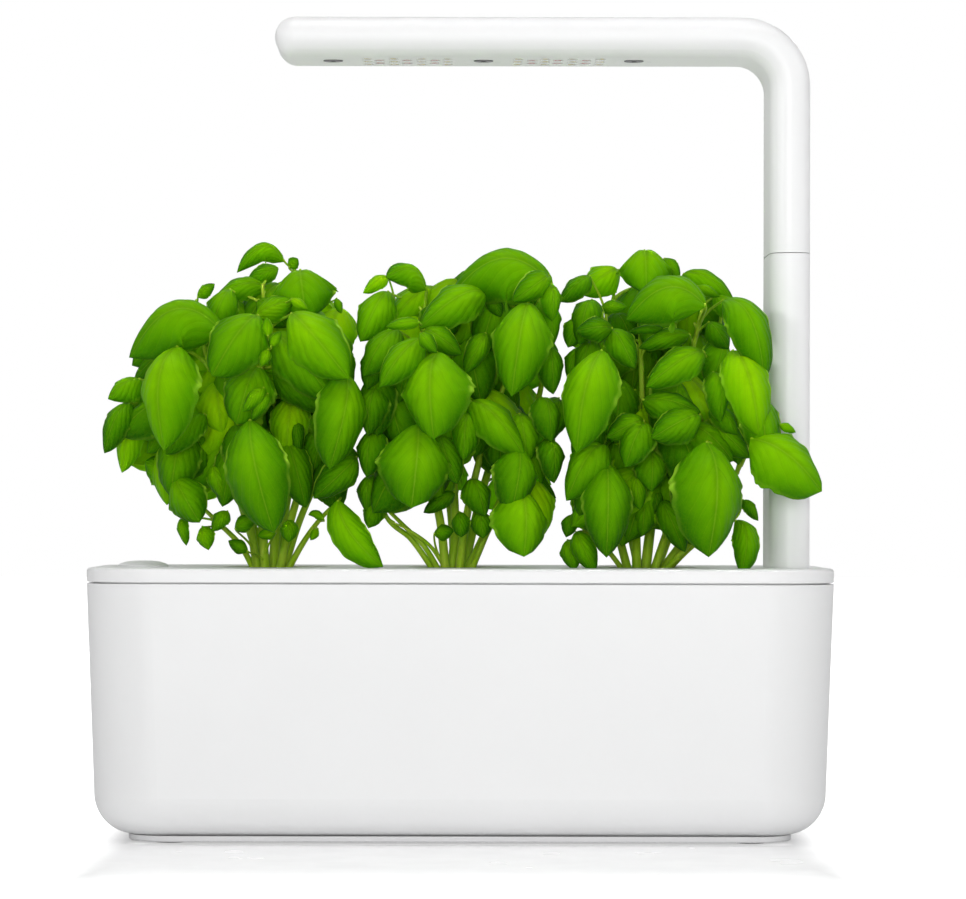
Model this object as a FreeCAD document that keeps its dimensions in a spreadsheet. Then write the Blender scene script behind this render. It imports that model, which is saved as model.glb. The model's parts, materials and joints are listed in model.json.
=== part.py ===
import FreeCAD, Part
import math
import os

import Sketcher
from FreeCAD import Placement, Rotation, Vector

# Countertop hydroponic garden: a rectangular water tub with a lift-off lid,
# three plant pods, a float gauge, two stacking extension arms and a bent lamp.
# Millimetres, +Z up, the front faces -Y, the origin is at the bottom centre of
# the base, where the rubber feet stand on the table.

os.makedirs("parts", exist_ok=True)
doc = FreeCAD.newDocument("CountertopGarden")
sheet = doc.addObject("Spreadsheet::Sheet", "Sizes")
values = {}


def cell(alias, value, note):
    row = len(values) + 1
    sheet.set("A%d" % row, note)
    sheet.set("B%d" % row, str(value))
    sheet.setAlias("B%d" % row, alias)
    values[alias] = float(value)


# ---- base and tub
cell("base_length", 305, "length of the tub rim and the lid, along X")
cell("base_width", 125, "width of the tub rim and the lid, along Y")
cell("corner_radius", 28, "plan radius of the lid and tub corners")
cell("foot_height", 0.8, "rubber feet under the base plate")
cell("plate_thickness", 2.4, "base plate")
cell("plate_length", 271, "base plate along X")
cell("plate_width", 99, "base plate along Y")
cell("plate_corner", 18, "base plate corner radius")
cell("tub_height", 102.2, "tub from its underside to its rim")
cell("draft_angle", 1.92, "outward draft of the tub walls")
cell("draft_inset", 3.426, "how far each wall has come in at the underside")
cell("bottom_radius", 16.4, "outer radius round the bottom of the tub")
cell("rim_wall", 2.4, "wall at the rim")
cell("tub_wall", 3.4, "wall under the lid ledge")
cell("ledge_depth", 6.2, "depth of the lid ledge below the rim")
cell("floor_thickness", 2.8, "floor of the water tank")
cell("seam_gap", 0.6, "shadow gap between tub rim and lid")
# ---- lid
cell("lid_edge", 5.7, "visible height of the lid edge")
cell("lid_skin", 2.5, "lid panel thickness")
cell("lip_offset", 2.95, "lid lip inside the rim, from the outside")
cell("lip_wall", 1.2, "lid lip thickness")
cell("lip_depth", 6.4, "lid lip below the lid edge")
cell("pod_pitch", 77, "distance between pod centres")
cell("pod_hole", 23.5, "pod hole radius in the lid")
cell("pod_seat", 27, "radius of the seat round each pod hole")
cell("pod_seat_depth", 1.5, "depth of that seat")
cell("fill_x", -132, "fill opening centre, X")
cell("fill_radius", 13, "fill opening end radius")
cell("fill_front", -6, "fill opening front centre, Y")
cell("fill_back", 14, "fill opening back centre, Y")
# ---- pods
cell("cup_radius", 22.8, "pod cup outer radius at the lid")
cell("cup_foot_radius", 18, "pod cup outer radius at its foot")
cell("cup_wall", 1.2, "pod cup wall")
cell("cup_length", 60, "pod cup below its flange")
cell("flange_radius", 26.6, "pod flange radius")
cell("flange_thickness", 1.1, "pod flange thickness")
# ---- float gauge
cell("cap_radius", 10.5, "float cap radius")
cell("cap_rim", 1.1, "float cap rim height")
cell("cap_dome", 1.9, "float cap dome height")
cell("float_radius", 10.3, "float body radius")
cell("cage_radius", 12.5, "float cage outer radius")
cell("cage_bore", 11.3, "float cage inner radius")
# ---- arms and lamp
cell("post_x", 136, "post centre, X")
cell("post_thick", 16.8, "arm and lamp thickness")
cell("post_depth", 46, "arm and lamp depth, along Y")
cell("post_edge", 8.2, "radius of the long rounded edges")
cell("lower_arm_height", 46, "lower arm with its share of the joint gap")
cell("upper_arm_height", 88.9, "upper arm with its share of the joint gap")
cell("arm_foot", 106.9, "height of the lower arm's lower end")
cell("joint_gap", 0.3, "clearance where two units stack")
cell("arm_wall", 2.2, "wall of the arms")
cell("tongue_thick", 8, "plug tongue thickness, along X")
cell("tongue_width", 30, "plug tongue width, along Y")
cell("tongue_length", 14, "plug tongue length")
cell("socket_play", 0.6, "socket larger than the tongue, both sides together")
cell("lamp_top", 339.4, "top of the lamp")
cell("lamp_left", -77.1, "free end of the lamp, X")
cell("bend_inner", 12, "inner radius of the lamp bend")
cell("cover_thick", 2.8, "lamp cover on the inner side")
cell("shell_wall", 2.2, "lamp shell wall")
cell("led_size", 3.2, "LED package width")
cell("screw_pitch", 62.8, "distance between the lamp screws")
cell("screw_mid", 9.3, "middle lamp screw, X")
doc.recompute()


class Q:
    """A size: its value now and the sheet expression that gives it."""

    def __init__(self, value, text):
        self.value, self.text = float(value), text

    @staticmethod
    def of(x):
        return x if isinstance(x, Q) else Q(x, "%.6g" % x)

    def __add__(self, o):
        o = Q.of(o)
        return Q(self.value + o.value, "(%s + %s)" % (self.text, o.text))

    def __sub__(self, o):
        o = Q.of(o)
        return Q(self.value - o.value, "(%s - (%s))" % (self.text, o.text))

    def __mul__(self, o):
        o = Q.of(o)
        return Q(self.value * o.value, "(%s * %s)" % (self.text, o.text))

    def __truediv__(self, o):
        o = Q.of(o)
        return Q(self.value / o.value, "(%s / %s)" % (self.text, o.text))

    def __neg__(self):
        return Q(-self.value, "(0 - %s)" % self.text)

    __radd__ = __add__
    __rmul__ = __mul__

    def __rsub__(self, o):
        return Q.of(o) - self


def S(alias):
    return Q(values[alias], "Sizes." + alias)


def bind(obj, prop, q):
    q = Q.of(q)
    obj.setExpression(prop, q.text)


def place(obj, x=0, y=0, z=0, prop="Placement"):
    for axis, q in zip("xyz", (x, y, z)):
        bind(obj, "%s.Base.%s" % (prop, axis), q)


# ---------------------------------------------------------------- sketches
def new_body(name):
    body = doc.addObject("PartDesign::Body", name)
    body.Label = name
    return body


def plane_of(body, role):
    for f in body.Origin.OriginFeatures:
        if f.Role == role:
            return f
    raise RuntimeError(role)


def sketch(body, name, plane="XY_Plane", offset=0):
    s = body.newObject("Sketcher::SketchObject", name)
    s.AttachmentSupport = (plane_of(body, plane), [""])
    s.MapMode = "FlatFace"
    o = Q.of(offset)
    s.AttachmentOffset = Placement(Vector(0, 0, o.value), Rotation())
    if isinstance(offset, Q):
        bind(s, "AttachmentOffset.Base.z", offset)
    return s


def name_it(s, index, name, q):
    s.renameConstraint(index, name)
    bind(s, "Constraints." + name, q)


def dist(s, kind, args, q, name):
    q = Q.of(q)
    i = s.addConstraint(Sketcher.Constraint(kind, *args, q.value))
    name_it(s, i, name, q)


def rect(s, x, y, w, d, tag="r"):
    """Rectangle with its low corner at x, y."""
    x, y, w, d = [Q.of(v) for v in (x, y, w, d)]
    a, b, c, e = x.value, y.value, w.value, d.value
    p = [(a, b), (a + c, b), (a + c, b + e), (a, b + e)]
    g = []
    for i in range(4):
        q0, q1 = p[i], p[(i + 1) % 4]
        g.append(s.addGeometry(Part.LineSegment(Vector(*q0, 0), Vector(*q1, 0)), False))
    for i in range(4):
        s.addConstraint(Sketcher.Constraint("Coincident", g[i], 2, g[(i + 1) % 4], 1))
    s.addConstraint(Sketcher.Constraint("Horizontal", g[0]))
    s.addConstraint(Sketcher.Constraint("Horizontal", g[2]))
    s.addConstraint(Sketcher.Constraint("Vertical", g[1]))
    s.addConstraint(Sketcher.Constraint("Vertical", g[3]))
    dist(s, "DistanceX", (-1, 1, g[0], 1), x, tag + "_x")
    dist(s, "DistanceY", (-1, 1, g[0], 1), y, tag + "_y")
    dist(s, "DistanceX", (g[0], 1, g[0], 2), w, tag + "_w")
    dist(s, "DistanceY", (g[1], 1, g[1], 2), d, tag + "_d")
    return g


def rounded(s, cx, cy, w, d, r, tag="r"):
    """Rounded rectangle about cx, cy."""
    cx, cy, w, d, r = [Q.of(v) for v in (cx, cy, w, d, r)]
    x0, x1 = cx.value - w.value / 2, cx.value + w.value / 2
    y0, y1 = cy.value - d.value / 2, cy.value + d.value / 2
    q = r.value
    h = math.pi / 2

    def line(ax, ay, bx, by):
        return s.addGeometry(Part.LineSegment(Vector(ax, ay, 0), Vector(bx, by, 0)), False)

    def arc(ax, ay, a0, a1):
        c = Part.Circle(Vector(ax, ay, 0), Vector(0, 0, 1), q)
        return s.addGeometry(Part.ArcOfCircle(c, a0, a1), False)

    g = [
        line(x0 + q, y0, x1 - q, y0),
        arc(x1 - q, y0 + q, -h, 0),
        line(x1, y0 + q, x1, y1 - q),
        arc(x1 - q, y1 - q, 0, h),
        line(x1 - q, y1, x0 + q, y1),
        arc(x0 + q, y1 - q, h, 2 * h),
        line(x0, y1 - q, x0, y0 + q),
        arc(x0 + q, y0 + q, 2 * h, 3 * h),
    ]
    for i in range(8):
        s.addConstraint(Sketcher.Constraint("Tangent", g[i], 2, g[(i + 1) % 8], 1))
    s.addConstraint(Sketcher.Constraint("Horizontal", g[0]))
    s.addConstraint(Sketcher.Constraint("Vertical", g[2]))
    s.addConstraint(Sketcher.Constraint("Horizontal", g[4]))
    s.addConstraint(Sketcher.Constraint("Vertical", g[6]))
    for i in (3, 5):
        s.addConstraint(Sketcher.Constraint("Equal", g[1], g[i]))
    i = s.addConstraint(Sketcher.Constraint("Radius", g[1], q))
    name_it(s, i, tag + "_r", r)
    dist(s, "DistanceX", (g[6], 1, g[2], 1), w, tag + "_w")
    dist(s, "DistanceY", (g[0], 1, g[4], 1), d, tag + "_d")
    dist(s, "DistanceX", (-1, 1, g[2], 1), cx + w / 2, tag + "_x")
    dist(s, "DistanceY", (-1, 1, g[4], 1), cy + d / 2, tag + "_y")
    return g


def ring(s, cx, cy, r, tag="c"):
    cx, cy, r = [Q.of(v) for v in (cx, cy, r)]
    g = s.addGeometry(
        Part.Circle(Vector(cx.value, cy.value, 0), Vector(0, 0, 1), r.value), False
    )
    i = s.addConstraint(Sketcher.Constraint("Radius", g, r.value))
    name_it(s, i, tag + "_r", r)
    dist(s, "DistanceX", (-1, 1, g, 3), cx, tag + "_x")
    dist(s, "DistanceY", (-1, 1, g, 3), cy, tag + "_y")
    return g


def chain(s, points, tag="p"):
    """Closed outline of straight lines through sized points."""
    pts = [(Q.of(a), Q.of(b)) for a, b in points]
    n = len(pts)
    g = []
    for i in range(n):
        (a, b), (c, d) = pts[i], pts[(i + 1) % n]
        g.append(
            s.addGeometry(
                Part.LineSegment(Vector(a.value, b.value, 0), Vector(c.value, d.value, 0)),
                False,
            )
        )
    for i in range(n):
        s.addConstraint(Sketcher.Constraint("Coincident", g[i], 2, g[(i + 1) % n], 1))
    for i, (a, b) in enumerate(pts):
        dist(s, "DistanceX", (-1, 1, g[i], 1), a, "%s%d_x" % (tag, i))
        dist(s, "DistanceY", (-1, 1, g[i], 1), b, "%s%d_y" % (tag, i))
    return g


# ---------------------------------------------------------------- features
def both_sides(f):
    if hasattr(f, "SideType"):
        f.SideType = "Symmetric"
    else:
        f.Midplane = True


def pad(body, s, length, name, reverse=False, middle=False, taper=None):
    f = body.newObject("PartDesign::Pad", name)
    f.Profile = s
    f.Length = Q.of(length).value
    bind(f, "Length", length)
    if middle:
        both_sides(f)
    f.Reversed = reverse
    if taper is not None:
        f.TaperAngle = Q.of(taper).value
        bind(f, "TaperAngle", taper)
    doc.recompute()
    return f


def pocket(body, s, length, name, reverse=False, middle=False, taper=None):
    before = body.Shape.Volume
    f = body.newObject("PartDesign::Pocket", name)
    f.Profile = s
    f.Length = Q.of(length).value
    bind(f, "Length", length)
    if middle:
        both_sides(f)
    f.Reversed = reverse
    if taper is not None:
        f.TaperAngle = Q.of(taper).value
        bind(f, "TaperAngle", taper)
    doc.recompute()
    if not body.Shape.Volume < before - 0.01:
        raise RuntimeError("%s cut nothing" % name)
    return f


def edges(shape, test):
    return ["Edge%d" % (i + 1) for i, e in enumerate(shape.Edges) if test(e)]


def dress(body, kind, test, size, name):
    tip = body.Tip
    names = edges(tip.Shape, test)
    if not names:
        raise RuntimeError("%s found no edges" % name)
    f = body.newObject("PartDesign::" + kind, name)
    f.Base = (tip, names)
    prop = "Radius" if kind == "Fillet" else "Size"
    setattr(f, prop, Q.of(size).value)
    bind(f, prop, size)
    doc.recompute()
    return f


def z_between(lo, hi):
    return lambda e: e.BoundBox.ZMin > lo - 1e-4 and e.BoundBox.ZMax < hi + 1e-4


def prim(body, kind, name, pos, turn=None, **sizes):
    """An additive or subtractive primitive of a body, by its placement."""
    before = body.Shape.Volume if body.Tip else 0
    f = body.newObject("PartDesign::" + kind, name)
    for key, q in sizes.items():
        setattr(f, key, Q.of(q).value)
        bind(f, key, q)
    f.Placement = Placement(
        Vector(*[Q.of(v).value for v in pos]), turn if turn is not None else Rotation()
    )
    place(f, *pos)
    doc.recompute()
    after = body.Shape.Volume
    if kind.startswith("Sub") and not after < before - 0.001:
        raise RuntimeError("%s cut nothing" % name)
    if kind.startswith("Add") and before and not after > before + 0.001:
        raise RuntimeError("%s added nothing" % name)
    return f


def solid(kind, name, pos=(0, 0, 0), turn=None, **sizes):
    f = doc.addObject("Part::" + kind, name)
    for key, q in sizes.items():
        setattr(f, key, Q.of(q).value)
        bind(f, key, q)
    f.Placement = Placement(
        Vector(*[Q.of(v).value for v in pos]), turn if turn is not None else Rotation()
    )
    place(f, *pos)
    return f


def box(name, lo, hi):
    lo, hi = [Q.of(v) for v in lo], [Q.of(v) for v in hi]
    return solid(
        "Box", name, lo, Length=hi[0] - lo[0], Width=hi[1] - lo[1], Height=hi[2] - lo[2]
    )


ALONG_Y = Rotation(Vector(1, 0, 0), -90)
nodes = []


def keep(obj, label):
    obj.Label = label
    nodes.append(obj)
    return obj


def group(label, objs):
    c = doc.addObject("Part::Compound", label)
    c.Links = objs
    return keep(c, label)


def fuse(name, objs):
    f = doc.addObject("Part::MultiFuse", name)
    f.Shapes = objs
    return f


def cut(name, base, tool):
    f = doc.addObject("Part::Cut", name)
    f.Base, f.Tool = base, tool
    return f


def feature(label, shape, pos=(0, 0, 0)):
    f = doc.addObject("Part::Feature", label)
    f.Shape = shape
    f.Placement = Placement(Vector(*pos), Rotation())
    return keep(f, label)


def bent_wire(points, bend, radius):
    """A round wire along straight runs joined by tangent arcs."""
    p = [Vector(*q) for q in points]
    path, at = [], p[0]
    for i in range(1, len(p) - 1):
        u, v = (p[i] - p[i - 1]).normalize(), (p[i + 1] - p[i]).normalize()
        turn = u.getAngle(v)
        back = bend * math.tan(turn / 2)
        a, b = p[i] - u * back, p[i] + v * back
        side = (v - u).normalize()
        mid = p[i] + side * (bend / math.cos(turn / 2) - bend)
        path.append(Part.LineSegment(at, a).toShape())
        path.append(Part.Arc(a, mid, b).toShape())
        at = b
    path.append(Part.LineSegment(at, p[-1]).toShape())
    spine = Part.Wire(path)
    start = (p[1] - p[0]).normalize()
    face = Part.Face(Part.Wire(Part.Circle(p[0], start, radius).toShape()))
    tube = spine.makePipe(face)
    expected = math.pi * radius**2 * spine.Length
    if abs(tube.Volume - expected) > 0.01 * expected:
        raise RuntimeError("wire volume")
    return tube


# ---------------------------------------------------------------- heights
z_plate = S("foot_height")
z_tub = z_plate + S("plate_thickness")
z_rim = z_tub + S("tub_height")
z_floor = z_tub + S("floor_thickness")
z_ledge = z_rim - S("ledge_depth")
z_lid = z_rim + S("seam_gap")
z_top = z_lid + S("lid_edge")
z_skin = z_top - S("lid_skin")
post_x = S("post_x")

# ---------------------------------------------------------------- tub
tub = new_body("tub")
s = sketch(tub, "tub_outline", offset=z_tub)
rect(
    s,
    S("draft_inset") - S("base_length") / 2,
    S("draft_inset") - S("base_width") / 2,
    S("base_length") - 2 * S("draft_inset"),
    S("base_width") - 2 * S("draft_inset"),
)
pad(tub, s, S("tub_height"), "tub_walls", taper=S("draft_angle"))
dress(
    tub,
    "Fillet",
    lambda e: e.BoundBox.ZLength > values["tub_height"] - 1,
    S("corner_radius"),
    "tub_corners",
)
s = sketch(tub, "rim_opening", offset=z_rim)
rounded(
    s,
    0,
    0,
    S("base_length") - 2 * S("rim_wall"),
    S("base_width") - 2 * S("rim_wall"),
    S("corner_radius") - S("rim_wall"),
)
pocket(tub, s, S("ledge_depth"), "rim_step")
s = sketch(tub, "tank_opening", offset=z_ledge)
rounded(
    s,
    0,
    0,
    S("base_length") - 2 * S("tub_wall") - 0.42,
    S("base_width") - 2 * S("tub_wall") - 0.42,
    S("corner_radius") - S("tub_wall"),
)
pocket(tub, s, z_ledge - z_floor, "tank", taper=-S("draft_angle"))
dress(
    tub,
    "Fillet",
    lambda e: abs(e.BoundBox.ZMin - z_floor.value) < 1e-3
    and abs(e.BoundBox.ZMax - z_floor.value) < 1e-3,
    S("bottom_radius") - S("tub_wall"),
    "tank_bottom",
)
dress(
    tub, "Fillet", z_between(z_tub.value, z_tub.value), S("bottom_radius"), "tub_bottom"
)
# the hatch under the dry chamber, and the hole for the inlet's bush
prim(tub, "SubtractiveBox", "hatch", (100, -22.8, 2), Length=31, Width=62.6, Height=20)
prim(tub, "SubtractiveBox", "bush_hole", (103, 50, 22), Length=18, Width=14, Height=18)
screw_spots = [(-90, -42), (-90, 42), (10, -42), (10, 42), (92, -42), (92, 42)]
for i, (x, y) in enumerate(screw_spots):
    prim(
        tub, "AdditiveCylinder", "boss%d" % i, (x, y, 5), Radius=4, Height=6.5
    )
    prim(
        tub, "SubtractiveCylinder", "pilot%d" % i, (x, y, 2), Radius=1.25, Height=7.6
    )
keep(tub, "tub")

# dry chamber for the wiring, welded into the tub: a low box at the post end
# and a tower up to the lid
chamber = new_body("chamber_raw")
for name, lo, hi in (
    ("chamber_foot", (97.8, -25, 5), (133.2, 42, 20)),
    ("chamber_end", (97.8, -25, 19.6), (148, 28, 44)),
    ("chamber_back", (97.8, 28, 19.6), (126.2, 58, 44)),
):
    prim(
        chamber,
        "AdditiveBox",
        name,
        lo,
        Length=hi[0] - lo[0],
        Width=hi[1] - lo[1],
        Height=hi[2] - lo[2],
    )
tower_w = S("post_thick") + 4
tower_d = S("post_depth") + 4
z_tower = z_rim - 1.4
s = sketch(chamber, "tower_outline", offset=40)
rounded(s, post_x, 0, tower_w, tower_d, S("post_edge"))
pad(chamber, s, z_tower - 40, "tower")
for name, lo, hi in (
    ("chamber_room_foot", (100, -22.8, 2), (131, 39.8, 22)),
    ("chamber_room_end", (100, -22.8, 21), (144.2, 25.8, 41.8)),
    ("chamber_room_back", (100, 20, 21), (124, 52, 41.8)),
):
    prim(
        chamber,
        "SubtractiveBox",
        name,
        lo,
        Length=hi[0] - lo[0],
        Width=hi[1] - lo[1],
        Height=hi[2] - lo[2],
    )
s = sketch(chamber, "tower_bore", offset=z_tower + 1)
rounded(s, post_x, 0, tower_w - 4.4, tower_d - 4.4, 6)
pocket(chamber, s, z_tower + 1 - 41, "tower_shaft")
prim(
    chamber,
    "SubtractiveBox",
    "chamber_bush_hole",
    (103, 50, 22),
    Length=18,
    Width=9,
    Height=18,
)
keep(cut("wiring_chamber", chamber, tub), "wiring_chamber")

# the square bush in the back wall, whose recess takes the plug's overmould
bush = cut(
    "inlet_bush",
    box("bush_body", (103.05, 52, 22.05), (120.95, 60, 39.95)),
    fuse(
        "bush_hollow",
        [
            solid("Cylinder", "inlet_recess", (112, 56, 31), ALONG_Y, Radius=6.5, Height=8),
            solid("Cylinder", "inlet_hole", (112, 50, 31), ALONG_Y, Radius=4.4, Height=8),
        ],
    ),
)
keep(bush, "inlet_bush")

# ---------------------------------------------------------------- base plate
plate = new_body("base_plate")
s = sketch(plate, "plate_outline", offset=z_plate)
rounded(s, 0, 0, S("plate_length"), S("plate_width"), S("plate_corner"))
pad(plate, s, S("plate_thickness"), "plate_slab")
dress(plate, "Chamfer", z_between(z_plate.value, z_plate.value), 0.5, "plate_edge")
for i, (x, y) in enumerate(screw_spots):
    prim(
        plate,
        "SubtractiveCone",
        "sink%d" % i,
        (x, y, z_plate - 0.1),
        Radius1=3.2,
        Radius2=1.5,
        Height=1.9,
    )
    prim(
        plate,
        "SubtractiveCylinder",
        "clear%d" % i,
        (x, y, z_plate),
        Radius=1.5,
        Height=4,
    )
keep(plate, "base_plate")

# countersunk self-tapping screws through the plate into the blind bosses
screws = []
for i, (x, y) in enumerate(screw_spots):
    head = solid(
        "Cone",
        "bs_head%d" % i,
        (x, y, z_plate),
        Radius1=3.05,
        Radius2=1.35,
        Height=1.8,
    )
    shank = solid(
        "Cylinder", "bs_shank%d" % i, (x, y, z_plate + 1.5), Radius=1.25, Height=6.3
    )
    slot = solid("Cylinder", "bs_drive%d" % i, (x, y, z_plate - 1), Radius=0.9, Height=2)
    screws.append(cut("bs%d" % i, fuse("bs_body%d" % i, [head, shank]), slot))
group("base_screws", screws)

feet = []
for i, (x, y) in enumerate([(-118, -36), (118, -36), (118, 36), (-118, 36)]):
    feet.append(
        solid("Cylinder", "foot%d" % i, (x, y, 0), Radius=7, Height=S("foot_height"))
    )
group("rubber_feet", feet)

# ---------------------------------------------------------------- power inlet
jack = fuse(
    "jack_body",
    [
        box("jack_block", (105, 38, 25), (119, 51.8, 37)),
        solid("Cylinder", "jack_nose", (112, 51, 31), ALONG_Y, Radius=4.3, Height=5),
    ],
)
jack_bore = fuse(
    "jack_hollow",
    [
        solid("Cylinder", "jack_mouth", (112, 46.5, 31), ALONG_Y, Radius=2.8, Height=12),
        solid("Cylinder", "jack_pin_hole", (112, 42, 31), ALONG_Y, Radius=1, Height=6),
    ],
)
keep(cut("dc_inlet", jack, jack_bore), "dc_inlet")
pin = fuse(
    "inlet_pin_body",
    [
        solid("Cylinder", "pin_rod", (112, 42, 31), ALONG_Y, Radius=1, Height=12.6),
        solid("Sphere", "pin_tip", (112, 54.6, 31), Radius=1),
    ],
)
keep(pin, "inlet_pin")

# ---------------------------------------------------------------- stacking joint
# A tongue on the lower end of each unit drops into a socket in the unit below.
tongue_w, tongue_d = S("tongue_thick"), S("tongue_width")
mouth_w, mouth_d = tongue_w + S("socket_play"), tongue_d + S("socket_play")
inner_w = S("post_thick") - 2 * S("arm_wall")
inner_d = S("post_depth") - 2 * S("arm_wall")
inner_r = S("post_edge") - S("arm_wall")


def contact_sleeves(tag, z_low):
    out = []
    for k, y in enumerate((-8, 8)):
        a = solid(
            "Cylinder", "%s_sleeve%d" % (tag, k), (post_x, y, z_low), Radius=1.9, Height=5
        )
        b = solid(
            "Cylinder",
            "%s_hole%d" % (tag, k),
            (post_x, y, z_low - 1),
            Radius=1.3,
            Height=7,
        )
        out.append(cut("%s_contact%d" % (tag, k), a, b))
    return out


def contact_pins(tag, z_end):
    """Two pins that stand out of a tongue whose end is at z_end."""
    out = []
    for k, y in enumerate((-8, 8)):
        rod = solid(
            "Cylinder",
            "%s_pin%d" % (tag, k),
            (post_x, y, z_end - 2.5),
            Radius=1,
            Height=8,
        )
        out.append(rod)
    return out


def socket_block(name, z_end, flange=None):
    """Insert that fills the top of a unit whose upper end is at z_end."""
    b = new_body(name)
    s = sketch(b, name + "_outline", offset=z_end - 20)
    if flange is None:
        rounded(s, post_x, 0, inner_w, inner_d, inner_r)
        pad(b, s, 20, name + "_block")
    else:
        rounded(s, post_x, 0, tower_w - 4.4, tower_d - 4.4, 6)
        pad(b, s, 20, name + "_block")
        s = sketch(b, name + "_flange_outline", offset=z_end - flange)
        rounded(s, post_x, 0, tower_w, tower_d, S("post_edge"))
        pad(b, s, flange, name + "_flange")
    s = sketch(b, name + "_mouth", offset=z_end + 1)
    rounded(s, post_x, 0, mouth_w, mouth_d, 2.9)
    pocket(b, s, S("tongue_length") + 2, name + "_cavity")
    for k, y in enumerate((-8, 8)):
        prim(
            b,
            "SubtractiveCylinder",
            "%s_well%d" % (name, k),
            (post_x, y, z_end - 21),
            Radius=1.9,
            Height=10,
        )
    return keep(b, name)


def plug_block(name, z_low, middle=None, wide=None, deep=None, corner=None):
    """Insert that closes the lower end of a unit at z_low, with its tongue."""
    b = new_body(name)
    s = sketch(b, name + "_outline", offset=z_low)
    if middle is None:
        rounded(s, post_x, 0, inner_w, inner_d, inner_r)
    else:
        rounded(s, middle, 0, wide, deep, corner)
    pad(b, s, 8, name + "_block")
    s = sketch(b, name + "_tongue_outline", offset=z_low - S("tongue_length"))
    rounded(s, post_x, 0, tongue_w, tongue_d, 2.6)
    pad(b, s, S("tongue_length") + 1, name + "_tongue")
    dress(
        b,
        "Chamfer",
        z_between(
            z_low.value - values["tongue_length"], z_low.value - values["tongue_length"]
        ),
        0.8,
        name + "_lead_in",
    )
    for k, y in enumerate((-8, 8)):
        prim(
            b,
            "SubtractiveCylinder",
            "%s_seat%d" % (name, k),
            (post_x, y, z_low - 16),
            Radius=1,
            Height=7.5,
        )
        prim(
            b,
            "SubtractiveCylinder",
            "%s_duct%d" % (name, k),
            (post_x, y, z_low - 9),
            Radius=1.1,
            Height=20,
        )
    return keep(b, name)


def arm(prefix, z_low, z_high):
    """One extension arm between two heights."""
    b = new_body(prefix + "_shell")
    s = sketch(b, prefix + "_outline", offset=z_low)
    rounded(s, post_x, 0, S("post_thick"), S("post_depth"), S("post_edge"))
    pad(b, s, z_high - z_low, prefix + "_tube")
    s = sketch(b, prefix + "_room", offset=z_high)
    rounded(s, post_x, 0, inner_w, inner_d, inner_r)
    pocket(b, s, z_high - z_low, prefix + "_bore")
    dress(
        b,
        "Chamfer",
        lambda e: (
            abs(e.BoundBox.ZMin - z_high.value) < 1e-4
            or abs(e.BoundBox.ZMax - z_low.value) < 1e-4
        )
        and e.BoundBox.ZLength < 1e-4
        and (
            abs(abs(e.CenterOfMass.x - post_x.value) - values["post_thick"] / 2) < 2.6
            or abs(abs(e.CenterOfMass.y) - values["post_depth"] / 2) < 0.1
        )
        and not inner_edge(e),
        0.15,
        prefix + "_break",
    )
    keep(b, prefix + "_shell")
    plug_block(prefix + "_plug", z_low)
    socket_block(prefix + "_socket", z_high)
    pins = contact_pins(prefix, z_low - S("tongue_length"))
    sleeves = contact_sleeves(prefix, z_high - 20)
    group(prefix + "_contacts", pins + sleeves)
    wires = []
    for k, y in enumerate((-8, 8)):
        lo = z_low - 8.5
        wires.append(
            solid(
                "Cylinder",
                "%s_wire%d" % (prefix, k),
                (post_x, y, lo),
                Radius=0.9,
                Height=z_high - 20 - lo,
            )
        )
    group(prefix + "_wires", wires)


def inner_edge(e):
    """Whether an edge of an arm's end lies on the bore."""
    half_w, half_d = inner_w.value / 2, inner_d.value / 2
    b = e.BoundBox
    return (
        b.XMin > post_x.value - half_w - 0.01
        and b.XMax < post_x.value + half_w + 0.01
        and b.YMin > -half_d - 0.01
        and b.YMax < half_d + 0.01
    )


# socket in the tower, its seal, contacts and wires
z_socket = S("arm_foot") - S("joint_gap")
socket_block("lamp_socket", z_socket, flange=2)
seal = new_body("socket_seal")
s = sketch(seal, "seal_outline", offset=z_tower)
rounded(s, post_x, 0, tower_w - 0.6, tower_d - 0.6, 7.8)
pad(seal, s, z_socket - 2 - z_tower, "seal_ring")
s = sketch(seal, "seal_hole", offset=z_socket)
rounded(s, post_x, 0, tower_w - 4.4, tower_d - 4.4, 6)
pocket(seal, s, 10, "seal_opening")
keep(seal, "socket_seal")
group("socket_contacts", contact_sleeves("base", z_socket - 20))
zs = (z_socket - 20).value
wire_a = bent_wire(
    [(136, -8, zs), (136, -8, 36), (109.5, -8, 33), (109.5, 38, 33)], 5, 0.9
)
wire_b = bent_wire(
    [(136, 8, zs), (136, 8, 31.5), (114.5, 8, 29), (114.5, 38, 29)], 5, 0.9
)
feature("base_wires", Part.makeCompound([wire_a, wire_b]))

# ---------------------------------------------------------------- lid
lid = new_body("lid")
s = sketch(lid, "lid_outline", offset=z_lid)
rounded(s, 0, 0, S("base_length"), S("base_width"), S("corner_radius"))
pad(lid, s, S("lid_edge"), "lid_slab")
dress(lid, "Fillet", z_between(z_top.value, z_top.value), 1.3, "lid_soft_edge")
dress(lid, "Chamfer", z_between(z_lid.value, z_lid.value), 0.4, "lid_lower_edge")
lip_in = S("lip_offset") + S("lip_wall")
s = sketch(lid, "lip_outline", offset=z_lid - S("lip_depth"))
rounded(
    s,
    0,
    0,
    S("base_length") - 2 * S("lip_offset"),
    S("base_width") - 2 * S("lip_offset"),
    S("corner_radius") - S("lip_offset"),
)
pad(lid, s, S("lip_depth") + 1, "lid_lip")
s = sketch(lid, "lid_hollow", offset=z_lid - S("lip_depth") - 1)
rounded(
    s,
    0,
    0,
    S("base_length") - 2 * lip_in,
    S("base_width") - 2 * lip_in,
    S("corner_radius") - lip_in,
)
pocket(lid, s, z_skin - z_lid + S("lip_depth") + 1, "lid_underside", reverse=True)
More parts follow.
